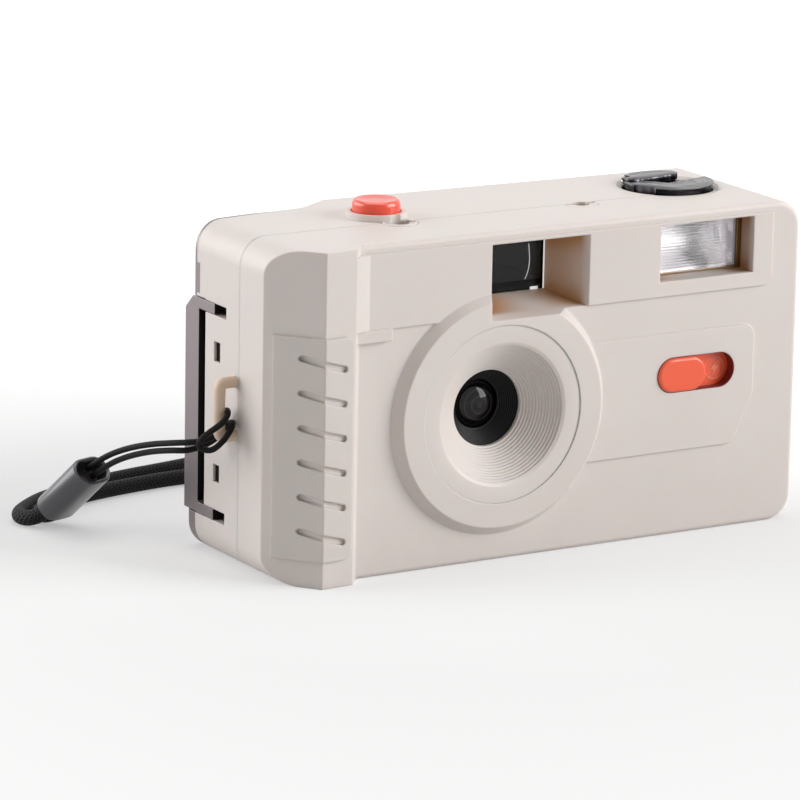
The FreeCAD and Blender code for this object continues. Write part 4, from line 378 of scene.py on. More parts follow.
# Metal-flake lacquer on the rewind knob's turned rings: dark, with bright streaks and edges.
KNOB_LACQUER = turned_lacquer("knob_lacquered_abs", "#5c595f", "#100f11", 0.2, grain=0.55,
                              depth=0.02, edge=0.2)
# Dark grey moulded clip on the strap: a grey flake under gloss.
CLIP_ABS = moulded("strap_clip_gloss", "#504e52", "#434145", 0.3, grain=0.1, depth=0.002,
                   edge=0.3, coat=0.4, metallic=0.5)
# Ground edge of the finder's acrylic pane, frosted: a painted glow for the light it catches from
# the whole pane, also used for the painted highlights in the finder.
FINDER_GLOW = moulded("acrylic_edge_painted_glow", "#f7f6f4", "#ecebe8", 0.3, glow=0.5)
# Gilt trim strip beside the flash window: dull brown gold.
GILT = moulded("gilt_trim", "#8c6a3a", "#4a3519", 0.35, grain=0.5, depth=0.02, metallic=0.6)
# Rolled and turned steel of screws, pins, springs and shutter: bright grey with fine marks.
STEEL = metal("bright_steel", "#b9b8b6", "#a9a8a6", 0.3, grain=0.4, depth=0.004, edge=0.15)
# Aluminium foil pressed behind the flash: silver at its ends, a brown cloud by the tube, a faint
# painted glow.
FOIL = foil("aluminium_reflector_foil", "#f6f0f5", "#463c41", 0.18)
# Coated lens glass: almost black, with a small sharp gloss and faint painted light rings.
LENS_GLASS = coated_glass("coated_lens_glass", "#0c0b0c", "#2c2829", 1.3)
# Clear acrylic of the flash window and the tube: colourless and polished.
CLEAR_WINDOW = clear("clear_acrylic_window", "#f1f2f2", 0.02, 1.49)
# The finder's panes are bloomed against reflections, so they look darker than the flash window.
FINDER_PANE = clear("bloomed_acrylic_pane", "#e4dcdc", 0.04, 1.24)
# Glass-fibre circuit board under green solder mask.
BOARD = moulded("green_circuit_board", "#1f5a33", "#184a29", 0.4)
# Shrink sleeve of the capacitor: smooth black film.
SLEEVE_FILM = moulded("capacitor_shrink_sleeve", "#1b1b1d", "#141416", 0.25)
# Open-cell foam of the light seal: dull black and pitted.
FOAM = moulded("black_seal_foam", "#151414", "#0e0e0e", 0.9, grain=0.4, depth=0.08)
# Braided nylon cord: dark strands, eight round the cord, with painted shade between them.
CORD_BRAID = braid("black_braided_nylon", "#282628", "#040405", pitch=0.9, around=5333.0,
                   depth=0.12)
# Waxed braided string: finer, nearly black, with the same painted shade between strands.
STRING_BRAID = braid("black_waxed_string", "#100e0f", "#040303", pitch=0.6, around=8571.0,
                     depth=0.05)

FINISHES = [
    (COVER_ABS, ["front_cover"]),
    (BEIGE_ABS, ["mid_body", "lens_bezel"]),
    (TAN_ABS, ["strap_lug"]),
    (GRIP_ABS, ["grip_pad"]),
    (DARK_ABS, ["rear_frame", "film_door", "door_latch", "advance_wheel"]),
    (BLACK_ABS_AND_SHADE, ["chassis", "lens_barrel", "viewfinder_tunnel", "takeup_spool", "sprocket",
                 "battery_holder", "battery_cover", "rewind_release", "rewind_shaft",
                 "pressure_plate"]),
    (ORANGE_ABS, ["shutter_button"]),
    (SWITCH_ABS, ["flash_switch"]),
    (KNOB_LACQUER, ["rewind_knob", "rewind_crank"]),
    (STEEL, ["door_hinge_pins", "crank_pin", "battery_cover_pin", "case_screws", "button_spring",
             "battery_spring", "battery_contact", "shutter_blade", "shutter_plate",
             "pressure_spring"]),
    (LENS_GLASS, ["front_lens", "rear_lens"]),
    (CLEAR_WINDOW, ["flash_lens", "flash_tube"]),
    (FINDER_PANE, ["viewfinder_window", "eyepiece"]),
    (FOIL, ["flash_reflector"]),
    (BOARD, ["circuit_board"]),
    (SLEEVE_FILM, ["capacitor"]),
    (FOAM, ["light_seal"]),
    (STRING_BRAID, ["strap_string"]),
    (CORD_BRAID, ["strap_cord"]),
    (CLIP_ABS, ["strap_sleeve"]),
]
for finish, names in FINISHES:
    for name in names:
        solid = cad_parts[name]
        solid.data.materials.clear()
        solid.data.materials.append(finish)


# Meshes

# Faces that meet at more than this angle, in degrees, keep a sharp edge.
SHARP_ANGLE = 38


def linked(name, data):
    """An object made of the data and linked to the scene."""
    item = bpy.data.objects.new(name, data)
    bpy.context.scene.collection.objects.link(item)
    return item


def piece(name, mesh, finish, body="camera", inside=None):
    """Links a mesh as a piece that rides on a body; its faces marked 1 take the inside finish."""
    item = linked(name, mesh)
    mesh.name = name
    mesh.materials.clear()
    mesh.materials.append(finish)
    if inside:
        mesh.materials.append(inside)
    mesh.shade_smooth()
    mesh.set_sharp_from_angle(angle=math.radians(SHARP_ANGLE))
    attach(item, body)
    return item


def plain_mesh(holder):
    """The evaluated object as a plain mesh; the object itself is removed."""
    bpy.context.view_layer.update()
    found = holder.evaluated_get(bpy.context.evaluated_depsgraph_get())
    mesh = bpy.data.meshes.new_from_object(found)
    holder.modifiers.clear()
    bpy.data.objects.remove(holder)
    return mesh


def finished_mesh(shape):
    """Turns a bmesh into a mesh with its faces outwards."""
    bmesh.ops.recalc_face_normals(shape, faces=shape.faces)
    mesh = bpy.data.meshes.new("shape")
    shape.to_mesh(mesh)
    shape.free()
    return mesh


def route_line(points):
    """Points on the smooth NURBS line that has the route's points as its control points."""
    curve = bpy.data.curves.new("route", "CURVE")
    curve.dimensions = "3D"
    curve.resolution_u = 12
    spline = curve.splines.new("NURBS")
    spline.points.add(len(points) - 1)
    for knot, point in zip(spline.points, points):
        knot.co = (*(value * MM for value in point), 1.0)
    spline.order_u = 3
    spline.use_endpoint_u = True
    line = plain_mesh(linked("route", curve))
    found = [vertex.co.copy() for vertex in line.vertices]
    bpy.data.meshes.remove(line)
    return found


def round_tube(line, radius, sides, flat=1.0):
    """Closed tube round a line and its length, mapped in metres; flat squeezes it across."""
    shape = bmesh.new()
    layer = shape.loops.layers.uv.new("along")
    rings = []
    reach = [0.0]
    side = (line[1] - line[0]).cross(Vector((0, 0, 1))).normalized()
    for index, point in enumerate(line):
        after = line[min(index + 1, len(line) - 1)]
        ahead = (after - line[max(index - 1, 0)]).normalized()
        side = (side - ahead * side.dot(ahead)).normalized()
        over = ahead.cross(side)
        if index:
            reach.append(reach[-1] + (point - line[index - 1]).length)
        turns = [2 * math.pi * step / sides for step in range(sides)]
        rings.append([shape.verts.new(point + radius * (math.cos(turn) * side
                                                        + flat * math.sin(turn) * over))
                      for turn in turns])
    for index in range(len(rings) - 1):
        for step in range(sides):
            follow = (step + 1) % sides
            face = shape.faces.new([rings[index][step], rings[index][follow],
                                    rings[index + 1][follow], rings[index + 1][step]])
            spots = [(reach[index], step), (reach[index], step + 1),
                     (reach[index + 1], step + 1), (reach[index + 1], step)]
            for loop, (along, around) in zip(face.loops, spots):
                loop[layer].uv = (along, 2 * math.pi * radius * around / sides)
    shape.faces.new(list(reversed(rings[0])))
    shape.faces.new(rings[-1])
    return finished_mesh(shape), reach[-1]


def bridged(shape, loops, closed=True):
    """Walls from each loop of vertices to the next; a loop of one vertex is a pole."""
    for first, second in zip(loops, loops[1:] + loops[:1] if closed else loops[1:]):
        count = max(len(first), len(second))
        for step in range(count):
            follow = (step + 1) % count
            corners = [first[step], first[follow]] if len(first) > 1 else [first[0]]
            corners += [second[follow], second[step]] if len(second) > 1 else [second[0]]
            shape.faces.new(corners)


def lathed(profile, segments=120, centre=(LENS_X, LENS_Z), upright=False):
    """Turns a profile of (radius, y) about a centre (x, z), or of (radius, z) about (x, y)."""
    shape = bmesh.new()
    loops = []
    for radius, depth in profile:
        turns = [2 * math.pi * step / segments for step in range(segments)] if radius else [0.0]
        spots = [(centre[0] + radius * math.cos(turn), centre[1] + radius * math.sin(turn))
                 for turn in turns]
        loops.append([shape.verts.new((first * MM, second * MM, depth * MM) if upright
                                      else (first * MM, depth * MM, second * MM))
                      for first, second in spots])
    bridged(shape, loops, closed=profile[0][0] > 0)
    return finished_mesh(shape)


def soft_slab(low, high, edge):
    """Flat bar between two corners, its edges rounded."""
    shape = bmesh.new()
    bmesh.ops.create_cube(shape, size=1.0)
    for vertex in shape.verts:
        vertex.co = [(low[axis] + (high[axis] - low[axis]) * (vertex.co[axis] + 0.5)) * MM
                     for axis in range(3)]
    bmesh.ops.bevel(shape, geom=list(shape.edges), offset=edge * MM, segments=2, profile=0.5,
                    affect="EDGES")
    return finished_mesh(shape)


def plate(outline, front, back, upright=False):
    """Flat plate with an outline of (x, z) between two depths, or (x, y) between two heights."""
    shape = bmesh.new()
    loops = [[shape.verts.new((x * MM, other * MM, depth * MM) if upright
                              else (x * MM, depth * MM, other * MM)) for x, other in outline]
             for depth in (front, back)]
    bridged(shape, loops, closed=False)
    shape.faces.new(loops[0])
    shape.faces.new(loops[1])
    return finished_mesh(shape)


def shape_tree(name, inputs, result):
    """An empty Geometry Nodes tree with named inputs and one result: itself and its input node."""
    tree = bpy.data.node_groups.new(name, "GeometryNodeTree")
    for label, kind in inputs:
        tree.interface.new_socket(label, in_out="INPUT", socket_type="NodeSocket" + kind)
    tree.interface.new_socket(result, in_out="OUTPUT", socket_type="NodeSocketGeometry")
    return tree, add(tree, "NodeGroupInput")


def end_tree(tree, geometry, finish, result):
    """Closes a Geometry Nodes tree: real meshes in place of copies, and their finish."""
    solid = add(tree, "GeometryNodeRealizeInstances", {"Geometry": geometry})
    dressed = add(tree, "GeometryNodeSetMaterial", {"Geometry": solid, "Material": finish})
    add(tree, "NodeGroupOutput", {result: dressed})


def made_by_nodes(mesh, tree, sizes):
    """Runs a Geometry Nodes tree on a mesh, with its inputs set by their labels."""
    holder = linked(tree.name, mesh)
    modifier = holder.modifiers.new(tree.name, "NODES")
    modifier.node_group = tree
    for item in tree.interface.items_tree:
        if item.item_type == "SOCKET" and item.in_out == "INPUT" and item.name in sizes:
            modifier[item.identifier] = sizes[item.name]
    return plain_mesh(holder)


# Rewind knob and crank. Corners of the solid above RIM_FOOT and beyond RIM_INNER are its rim,
# which grows wider and thinner; those below WALL_HEAD and beyond WALL_RADIUS are its wall, which
# goes in, and further in below FOOT_HEAD. What lies below the rim rises by KNOB_RISE.
RIM_FOOT, RIM_INNER = 63.7, 8.2
RIM_SOLID, RIM_RADIUS = 8.35, 8.95
RIM_SOLID_HEIGHT, RIM_HEIGHT, RIM_THINNED = 63.75, 63.98, 0.45
WALL_HEAD, WALL_RADIUS = 63.3, 8.5
FOOT_HEAD, FOOT_RADIUS = 62, 8.0
KNOB_RISE = 0.12
KNOB_EDGE = 0.1


def knob_copy(node):
    """The knob's or crank's own shape with its rim thinned and its edges rounded."""
    shape = bmesh.new()
    shape.from_mesh(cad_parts[node].data)
    bmesh.ops.remove_doubles(shape, verts=shape.verts, dist=0.002 * MM)
    bmesh.ops.dissolve_limit(shape, angle_limit=math.radians(2), verts=shape.verts,
                             edges=shape.edges)
    centre = Vector((*KNOB, 0)) * MM
    for vertex in shape.verts:
        out = vertex.co - centre
        out.z = 0
        far = out.length / MM
        high = vertex.co.z / MM
        reach = far
        if high > RIM_FOOT and far > RIM_INNER:
            reach = min(far * RIM_RADIUS / RIM_SOLID, RIM_RADIUS)
        elif high < WALL_HEAD and far > WALL_RADIUS:
            reach = WALL_RADIUS if high > FOOT_HEAD else FOOT_RADIUS
        if far:
            out *= reach / far
        vertex.co.x = centre.x + out.x
        vertex.co.y = centre.y + out.y
        vertex.co.z = (RIM_HEIGHT + (high - RIM_SOLID_HEIGHT) * RIM_THINNED if high > RIM_FOOT
                       else high + KNOB_RISE) * MM
    sharp = [item for item in shape.edges
             if len(item.link_faces) == 2 and item.calc_face_angle(0) > math.radians(30)]
    bmesh.ops.bevel(shape, geom=sharp, offset=KNOB_EDGE * MM, segments=2, profile=0.5,
                    affect="EDGES", clamp_overlap=True)
    return finished_mesh(shape)


def stadium_loop(shape, centre, across, over, reach, radius, steps=10):
    """Ring of vertices round a flat-sided oval."""
    ring = []
    for side in (1, -1):
        for step in range(steps + 1):
            turn = math.pi * step / steps - math.pi / 2
            spot = (across * (side * (reach + radius * math.cos(turn)))
                    + over * (side * radius * math.sin(turn)))
            ring.append(shape.verts.new(centre + spot))
    return ring


# Strap clip: its wall, its rounded lip, and how deep and how much narrower its mouths go.
CLIP_WALL = 0.9 * MM
CLIP_LIP = 0.45 * MM
CLIP_MOUTH_DEEP, CLIP_MOUTH_EDGE, CLIP_MOUTH_TAPER = 3.2 * MM, 0.5 * MM, 0.3 * MM
LIP_STEPS = 4


def strap_clip():
    """Flattened tube that holds string and cord: rounded lips and a hollow mouth at each end,
    painted black inside as shade.
    """
    along = CLIP_LOW - CLIP_TOP
    long = along.length
    along.normalize()
    across = along.cross(Vector((0, 0, 1))).normalized()
    over = along.cross(across)
    radius = CLIP_THICK / 2
    reach = CLIP_WIDTH / 2 - radius
    # Each station: the distance along the clip, and how far in from its outside.
    stations = [(CLIP_MOUTH_DEEP, CLIP_WALL + CLIP_MOUTH_TAPER), (CLIP_MOUTH_EDGE, CLIP_WALL)]
    quarter = [(math.pi / 2 * step / LIP_STEPS, step / LIP_STEPS) for step in range(LIP_STEPS + 1)]
    stations += [(CLIP_LIP * (1 - math.sin(turn)), CLIP_WALL - (CLIP_WALL - CLIP_LIP) * share)
                 for turn, share in quarter]
    stations += [(CLIP_LIP * (1 - math.cos(turn)), CLIP_LIP * (1 - math.sin(turn)))
                 for turn, share in quarter]
    stations += [(long - place, depth) for place, depth in reversed(stations)]
    shape = bmesh.new()
    rings = [stadium_loop(shape, CLIP_TOP + along * place, across, over, reach, radius - depth)
             for place, depth in stations]
    bridged(shape, rings, closed=False)
    # Painted shade: the end faces and the inside near each mouth take the black inside finish.
    shape.faces.new(rings[0]).material_index = 1
    shape.faces.new(rings[-1]).material_index = 1
    inner = {vertex for ring in rings[:3] + rings[-3:] for vertex in ring}
    for face in shape.faces:
        if all(vertex in inner for vertex in face.verts):
            face.material_index = 1
    return finished_mesh(shape)


# Camera

lens = bpy.data.cameras.new("viewpoint")
lens.lens = VIEW_LENS
lens.sensor_width = 36.0
lens.clip_end = 20.0
viewpoint = linked("viewpoint", lens)
aim = (Matrix.Rotation(math.radians(VIEW_TURN), 4, "Z")
       @ Matrix.Rotation(math.radians(90 - VIEW_TILT), 4, "X")
       @ Matrix.Rotation(math.radians(VIEW_ROLL), 4, "Z"))
viewpoint.matrix_world = Matrix.Translation(Vector(VIEW_PLACE)) @ aim
bpy.context.scene.camera = viewpoint
bpy.context.scene.view_settings.view_transform = "Standard"

# Light: softboxes in metres and watts, all turned to the body's middle
LAMP_AIM = Vector((0, 0, 0.03))
LAMPS = [
    ("key", (1.0, -0.85, 0.5), 0.9, 0.9, 17.0),
    ("left", (-1.0, 0.8, 0.45), 1.3, 1.0, 14.5),
    ("top", (0.1, 0.25, 1.2), 1.0, 0.8, 5.5),
]
for name, place, width, height, power in LAMPS:
    lamp = bpy.data.lights.new(name, "AREA")
    lamp.shape = "RECTANGLE"
    lamp.size = width
    lamp.size_y = height
    lamp.energy = power
    look = (LAMP_AIM - Vector(place)).to_track_quat("-Z", "Y").to_matrix().to_4x4()
    linked(name, lamp).matrix_world = Matrix.Translation(Vector(place)) @ look

# The room: its fill light is weaker and a touch warmer than the white that the camera, the glass
# and the gloss see.
FILL_LEVEL = 0.25
world = bpy.data.worlds.new("studio")
bpy.context.scene.world = world
world.use_nodes = True
sky = world.node_tree
sky.nodes.clear()
ray = add(sky, "ShaderNodeLightPath")
seen = add(sky, "ShaderNodeMath", {0: ray.outputs["Is Camera Ray"],
                                   1: ray.outputs["Is Transmission Ray"]}, operation="MAXIMUM")
mirrored = add(sky, "ShaderNodeMath", {0: seen, 1: ray.outputs["Is Glossy Ray"]},
               operation="MAXIMUM")
level = add(sky, "ShaderNodeMapRange", {"Value": mirrored, "To Min": FILL_LEVEL, "To Max": 1.0})
fill = add(sky, "ShaderNodeMix", {0: mirrored, 6: paint("#fffdfb"), 7: paint("#ffffff")},
           data_type="RGBA")
back = add(sky, "ShaderNodeBackground", {"Color": fill.outputs[2], "Strength": level})
add(sky, "ShaderNodeOutputWorld", {"Surface": back})

# Floor: matt white card, and to the eye just bright enough to reach white where no shadow falls.
# The lift is weaker near the object, which paints shade round it so that its soft shadow stays;
# distances are in metres.
FLOOR_HALF = 4.0
CARD_GREY = 0.62
LIFT_NEAR, LIFT_FAR = 0.39, 0.6
LIFT_START, LIFT_END = 0.1, 0.35
floor_mesh = bpy.data.meshes.new("floor")
floor_mesh.from_pydata([(x * FLOOR_HALF, y * FLOOR_HALF, 0)
                        for x, y in ((-1, -1), (1, -1), (1, 1), (-1, 1))], [], [(0, 1, 2, 3)])
floor = linked("floor", floor_mesh)
card, tree, place = new_finish("white_card")
ray = add(tree, "ShaderNodeLightPath")
seen = add(tree, "ShaderNodeMath", {0: ray.outputs["Is Camera Ray"],
                                    1: ray.outputs["Is Glossy Ray"]}, operation="MAXIMUM")
far = add(tree, "ShaderNodeVectorMath", {0: place}, operation="LENGTH")
fade = add(tree, "ShaderNodeMapRange", {"Value": far.outputs["Value"], "From Min": LIFT_START,
                                        "From Max": LIFT_END, "To Min": LIFT_NEAR,
                                        "To Max": LIFT_FAR})
lift = add(tree, "ShaderNodeMath", {0: seen, 1: fade}, operation="MULTIPLY")
matt = add(tree, "ShaderNodeBsdfDiffuse", {"Color": (CARD_GREY, CARD_GREY, CARD_GREY, 1),
                                           "Roughness": 1.0})
glow = add(tree, "ShaderNodeEmission", {"Color": (1, 1, 1, 1), "Strength": lift})
both = add(tree, "ShaderNodeAddShader", {0: matt, 1: glow})
add(tree, "ShaderNodeOutputMaterial", {"Surface": both})
floor_mesh.materials.append(card)

# Strap

string_line = route_line(STRING_POINTS)
string_mesh, string_length = round_tube(string_line, STRING_DIAMETER / 2 * MM, STRING_SIDES)
wrist_string = piece("wrist_string", string_mesh, STRING_BRAID)
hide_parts("strap_string")
cord_line = route_line(CORD_POINTS)
cord_mesh, cord_length = round_tube(cord_line, CORD_DIAMETER / 2 * MM, CORD_SIDES)
wrist_cord = piece("wrist_cord", cord_mesh, CORD_BRAID)
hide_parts("strap_cord")
clip = piece("strap_clip", strap_clip(), CLIP_ABS, inside=BLACK_ABS_AND_SHADE)
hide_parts("strap_sleeve")

# Lug: a round-edged staple in place of the plain one, and a square root at each of its ends

LUG_RADIUS, LUG_FLAT, LUG_SIDES = 1.15, 0.95, 24
LUG_POINTS = [(-55.8, -1.6, 35.9), (-58.2, -1.6, 35.95), (-60.4, -1.6, 35.95),
              (-60.5, -1.6, 33.8), (-60.5, -1.6, 31.0), (-60.5, -1.6, 28.0),
              (-60.4, -1.6, 25.75), (-58.2, -1.6, 25.75), (-55.8, -1.6, 25.8)]
ROOT_HEIGHT = 2.55
FINE_EDGE = 0.05
lug_mesh = round_tube(route_line(LUG_POINTS), LUG_RADIUS * MM, LUG_SIDES, flat=LUG_FLAT)[0]
lug = piece("lug_staple", lug_mesh, TAN_ABS)
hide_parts("strap_lug")
for label, low in (("low", 24.55), ("high", 34.6)):
    root = soft_slab((-57.08, -2.85, low), (-56.5, -0.35, low + ROOT_HEIGHT), FINE_EDGE)
    piece("lug_root_" + label, root, BEIGE_ABS)

# Lens: finely stepped cone, baffled barrel and domed glass, as profiles of (radius, y)

CONE_STEPS = 14
CONE_THROAT, CONE_SPREAD = 7.3, 6.15
CONE_BACK, CONE_DEEP = -13.9, 5.8
# A cone step leans out by this much, and takes up this share of its depth.
STEP_LEAN, STEP_SHARE = 0.06, 0.85
BEZEL_SEAT, BEZEL_BACK, BEZEL_FRONT = -13.4, -13.0, -19.9
BEZEL_BORE, BEZEL_RADIUS = 8.75, 17.02
cone_profile = [(CONE_THROAT, BEZEL_SEAT)]
for index in range(CONE_STEPS):
    radius = CONE_THROAT + CONE_SPREAD * index / CONE_STEPS
    depth = CONE_BACK - CONE_DEEP * index / CONE_STEPS
    cone_profile += [(radius, depth),
                     (radius + STEP_LEAN, depth - CONE_DEEP / CONE_STEPS * STEP_SHARE)]
cone_profile += [(13.45, -19.7), (13.58, -19.84), (13.85, BEZEL_FRONT), (16.5, BEZEL_FRONT),
                 (BEZEL_RADIUS, BEZEL_FRONT), (BEZEL_RADIUS, BEZEL_BACK),
                 (BEZEL_BORE, BEZEL_BACK), (BEZEL_BORE, BEZEL_SEAT)]
cone = piece("cone_bezel", lathed(cone_profile), BEIGE_ABS)
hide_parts("lens_bezel")
# A ring in painted brown shade fills the gap round the bezel.
gap = [(17.0, -20.0), (17.4, -20.0), (17.4, -19.6), (17.0, -19.6)]
piece("bezel_gap", lathed(gap), GAP_SHADE)

BAFFLES = 9
BAFFLE_RADIUS, BAFFLE_NARROWING = 7.25, 2.45
BAFFLE_FRONT, BAFFLE_DEEP = -13.35, 2.9
BAFFLE_LEAN, BAFFLE_SHARE = 0.04, 0.8
barrel_profile = [(12.0, -5.5), (12.0, -7.4), (8.6, -7.4), (8.6, BAFFLE_FRONT)]
for index in range(BAFFLES):
    radius = BAFFLE_RADIUS - BAFFLE_NARROWING * index / BAFFLES
    barrel_profile += [(radius, BAFFLE_FRONT + BAFFLE_DEEP * index / BAFFLES),
                       (radius - BAFFLE_LEAN,
                        BAFFLE_FRONT + BAFFLE_DEEP * (index + BAFFLE_SHARE) / BAFFLES)]
barrel_profile += [(4.75, -10.45), (4.62, -10.3), (4.62, -7.5), (2.4, -7.5), (2.4, -6.3),
                   (10.4, -6.3), (10.4, -5.5)]
barrel = piece("baffled_barrel", lathed(barrel_profile), BARREL_ABS)
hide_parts("lens_barrel")

GLASS_RADIUS, GLASS_FRONT, GLASS_CROWN, GLASS_BACK = 4.55, -11.55, 2.4, -7.6
dome = [(0, GLASS_FRONT)]
for angle in range(8, 89, 8):
    turn = math.radians(angle)
    dome.append((GLASS_RADIUS * math.sin(turn), GLASS_FRONT + GLASS_CROWN * (1 - math.cos(turn))))
dome += [(GLASS_RADIUS, -9.1), (GLASS_RADIUS, GLASS_BACK), (0, GLASS_BACK)]
glass = piece("front_glass", lathed(dome), LENS_GLASS)
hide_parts("front_lens")

# Rewind knob and its crank, with soft bright edges, and the light ring below them

for node, body in (("rewind_knob", "rewind"), ("rewind_crank", "crank")):
    shaped = piece("soft_" + node, knob_copy(node), KNOB_LACQUER, body)
    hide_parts(node)
surround = [(8.8, 62.1), (8.8, 62.4), (9.53, 62.9), (9.53, 62.1)]
piece("knob_surround", lathed(surround, centre=KNOB, upright=True), BEIGE_ABS)

# Return spring at the height it has with the button pressed, so that the button never cuts it

PRESS_TRAVEL, SPRING_CLEARANCE = 1.5, 0.05
spring_shape = bmesh.new()
spring_shape.from_mesh(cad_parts["button_spring"].data)
spring_low = min(vertex.co.z for vertex in spring_shape.verts)
spring_high = max(vertex.co.z for vertex in spring_shape.verts)
for vertex in spring_shape.verts:
    share = (vertex.co.z - spring_low) / (spring_high - spring_low)
    vertex.co.z -= share * (PRESS_TRAVEL + SPRING_CLEARANCE) * MM
spring = piece("pressed_spring", finished_mesh(spring_shape), STEEL)
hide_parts("button_spring")

# Well beside the button: the thin raised lip round it

LIP_RADIUS, LIP_HEIGHT, LIP_THICK, LIP_SIDES = 3.0, 63.0, 0.2, 12
WELL_CENTRE, WELL_SEGMENTS = (-23.9, -3.7), 64
turns = [2 * math.pi * step / LIP_SIDES for step in range(LIP_SIDES)]
lip = [(LIP_RADIUS + LIP_THICK * math.cos(turn), LIP_HEIGHT + LIP_THICK * math.sin(turn))
       for turn in turns]
piece("well_lip", lathed(lip, WELL_SEGMENTS, WELL_CENTRE, upright=True), BEIGE_ABS)

# Flash window: a pane fluted across by Geometry Nodes, and the gilt strip beside it

flutes, given = shape_tree("window_flutes", [("Pane", "Geometry"), ("Pitch", "Float"),
                                             ("Depth", "Float"), ("Front", "Float"),
                                             ("Finish", "Material")], "Window")
spot = add(flutes, "ShaderNodeSeparateXYZ", {"Vector": add(flutes, "GeometryNodeInputPosition")})
flute = add(flutes, "ShaderNodeMath", {0: spot.outputs["Z"], 1: given.outputs["Pitch"]},
            operation="DIVIDE")
phase = add(flutes, "ShaderNodeMath", {0: flute, 1: math.pi}, operation="MULTIPLY")
wave = add(flutes, "ShaderNodeMath", {0: phase}, operation="SINE")
crest = add(flutes, "ShaderNodeMath", {0: wave}, operation="ABSOLUTE")
rise = add(flutes, "ShaderNodeMath", {0: crest, 1: given.outputs["Depth"]}, operation="MULTIPLY")
forward = add(flutes, "ShaderNodeMath", {0: 0.0, 1: rise}, operation="SUBTRACT")
shift = add(flutes, "ShaderNodeCombineXYZ", {"Y": forward})
facing = add(flutes, "FunctionNodeCompare", {"A": spot.outputs["Y"], "B": given.outputs["Front"]},
             operation="LESS_THAN")
moved = add(flutes, "GeometryNodeSetPosition", {"Geometry": given.outputs["Pane"],
                                                "Selection": facing, "Offset": shift})
end_tree(flutes, moved, given.outputs["Finish"], "Window")

PANE_ROWS, PANE_INSET = 136, 0.1
PANE_FRONT, PANE_BACK = -13.8, -12.7
# Points in front of the limit are moved into flutes.
FLUTE_PITCH, FLUTE_DEPTH, FLUTE_LIMIT = 0.55, 0.1, -13.5
pane_high = FLASH_HIGH - FLASH_LOW - 2 * PANE_INSET
rows = [FLASH_LOW + PANE_INSET + pane_high * row / PANE_ROWS for row in range(PANE_ROWS + 1)]
outline = [(PANE_FRONT, z) for z in rows] + [(PANE_BACK, rows[-1]), (PANE_BACK, rows[0])]
pane = bmesh.new()
ends = [[pane.verts.new((x * MM, y * MM, z * MM)) for y, z in outline]
        for x in (FLASH_LEFT + PANE_INSET, FLASH_RIGHT - PANE_INSET)]
bridged(pane, ends, closed=False)
pane.faces.new(ends[0])
pane.faces.new(ends[1])
window_mesh = made_by_nodes(finished_mesh(pane), flutes, {
    "Pitch": FLUTE_PITCH * MM, "Depth": FLUTE_DEPTH * MM, "Front": FLUTE_LIMIT * MM,
    "Finish": CLEAR_WINDOW})
window = piece("flash_window", window_mesh, CLEAR_WINDOW)
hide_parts("flash_lens")
trim = soft_slab((44.7, -14.35, 50.2), (45.8, -14.1, 60.6), FINE_EDGE)
piece("flash_trim", trim, GILT)

# Screw heads: painted shade of a cross recess on each, set by Geometry Nodes on the two wells

CROSS_LONG, CROSS_WIDE = 1.7, 0.42
# The two bars differ a little in height, so that their faces don't lie in one plane.
BAR_HEIGHTS = (0.1, 0.12)
crosses, given = shape_tree("drive_crosses", [("Screws", "Geometry"), ("Long", "Float"),
                                              ("Wide", "Float"), ("Finish", "Material")],
                            "Crosses")
bars = add(crosses, "GeometryNodeJoinGeometry")
for (first, second), height in zip((("Long", "Wide"), ("Wide", "Long")), BAR_HEIGHTS):
    size = add(crosses, "ShaderNodeCombineXYZ", {
        "X": given.outputs[first], "Y": given.outputs[second], "Z": height * MM})
    bar = add(crosses, "GeometryNodeMeshCube", {"Size": size})
    crosses.links.new(bar.outputs["Mesh"], bars.inputs[0])
spread = add(crosses, "GeometryNodeInstanceOnPoints", {"Points": given.outputs["Screws"],
                                                       "Instance": bars})
end_tree(crosses, spread, given.outputs["Finish"], "Crosses")
heads = bpy.data.meshes.new("screw_heads")
heads.from_pydata([tuple(value * MM for value in well) for well in WELLS], [], [])
cross_mesh = made_by_nodes(heads, crosses, {"Long": CROSS_LONG * MM, "Wide": CROSS_WIDE * MM,
                                            "Finish": BLACK_ABS_AND_SHADE})
piece("screw_cross_shade", cross_mesh, BLACK_ABS_AND_SHADE)

# Finder: painted highlights, glowing, on the ground edge of the pane and below it, and along the
# edge of the rear lens in the dark tunnel

HAIR_EDGE = 0.02
for label, low, high in (("edge", (4.5, -9.08, 48.95), (4.79, -9.02, 58.25)),
                         ("glint", (1.7, -9.08, 48.95), (3.4, -9.02, 49.5))):
    piece("finder_" + label, soft_slab(low, high, HAIR_EDGE), FINDER_GLOW)
ARC_RADIUS, ARC_SIDES = 0.055, 10
ARC_POINTS = [(2.1, -7.4, 57.4), (2.3, -7.4, 55.6), (2.4, -7.4, 53.9), (2.0, -7.4, 51.8),
              (1.2, -7.4, 50.3), (0.8, -7.4, 49.7)]
arc_mesh = round_tube(route_line(ARC_POINTS), ARC_RADIUS * MM, ARC_SIDES)[0]
piece("finder_lens_edge_highlight", arc_mesh, FINDER_GLOW)

# Film door: black plates of painted shade on the hinge bar's inner face and its arms' front ends

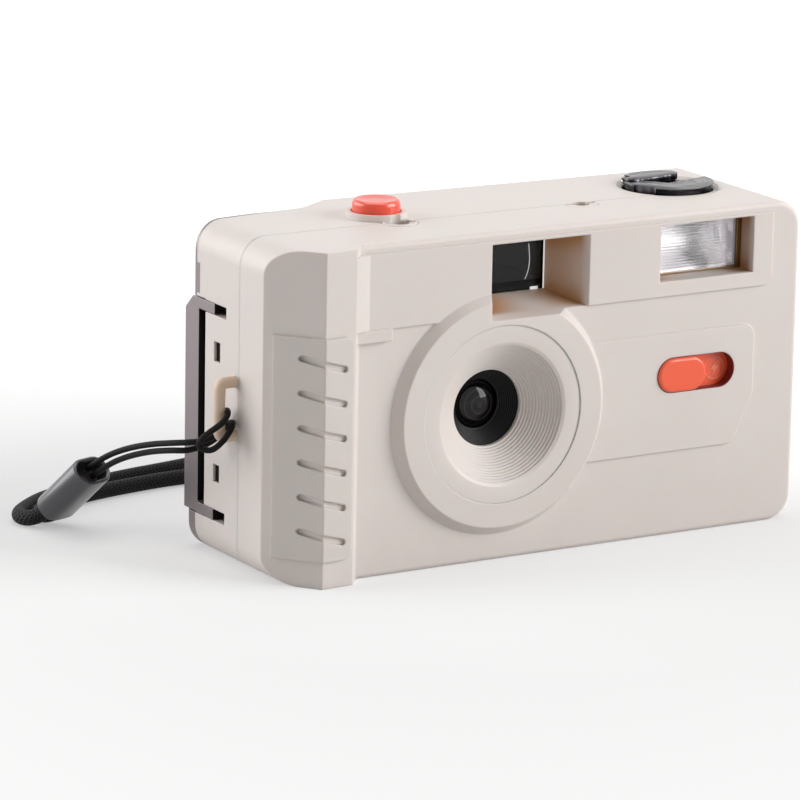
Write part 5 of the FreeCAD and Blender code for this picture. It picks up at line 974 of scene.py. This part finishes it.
bar_shade = soft_slab((-56.98, 12.82, 9.9), (-54.4, 12.88, 46.7), HAIR_EDGE)
piece("hinge_shade", bar_shade, BLACK_ABS_AND_SHADE, "door")
ARM_END = [(-56.99, 6.88), (-54.2, 5.95), (-54.2, 5.88), (-56.99, 6.81)]
for label, low, high in (("low", 7.62, 9.58), ("high", 46.92, 48.88)):
    piece("arm_shade_" + label, plate(ARM_END, low, high, upright=True), BLACK_ABS_AND_SHADE,
          "door")

# Side windows: black plates of painted shade behind the two slots in the left wall

for label, low, high in (("upper", 38.02, 41.78), ("lower", 15.02, 18.38)):
    shade = soft_slab((-56.5, 4.62, low), (-56.3, 6.88, high), HAIR_EDGE)
    piece("side_shade_" + label, shade, BLACK_ABS_AND_SHADE)

# Flash switch: painted red shade lining its slot, and a plain bolt in a ring on the slide

SLOT_FRONT, SLOT_BACK, LINER_THICK, LINER_STEPS = -18.36, -16.25, 0.07, 24
slot_middle = (SLOT_LEFT + SLOT_RIGHT) / 2 * MM
slot_half = SLOT_WIDE / 2 * MM
slot_reach = (SLOT_RIGHT - SLOT_LEFT) / 2 * MM - slot_half
liner_shape = bmesh.new()
loops = [stadium_loop(liner_shape, Vector((slot_middle, depth * MM, SLOT_Z * MM)),
                      Vector((1, 0, 0)), Vector((0, 0, 1)), slot_reach, slot_half - inset * MM,
                      steps=LINER_STEPS)
         for depth, inset in ((SLOT_FRONT, 0.0), (SLOT_FRONT, LINER_THICK),
                              (SLOT_BACK, LINER_THICK), (SLOT_BACK, 0.0))]
bridged(liner_shape, loops)
piece("slot_shade", finished_mesh(liner_shape), SLOT_SHADE)
MARK_FRONT, MARK_BACK = -16.19, -16.14
RING_CENTRE, RING_OUTER, RING_INNER, RING_SEGMENTS = (39.3, 31.4), 2.35, 2.05, 40
ring = [(RING_OUTER, MARK_FRONT), (RING_INNER, MARK_FRONT), (RING_INNER, MARK_BACK),
        (RING_OUTER, MARK_BACK)]
piece("switch_ring", lathed(ring, RING_SEGMENTS, RING_CENTRE), ORANGE_WORN,
      "switch")
bolt = [(39.9, 33.0), (38.3, 31.1), (39.2, 31.1), (38.7, 29.7), (40.3, 31.7), (39.4, 31.7)]
piece("switch_bolt", plate(bolt, MARK_FRONT, MARK_BACK), ORANGE_WORN, "switch")
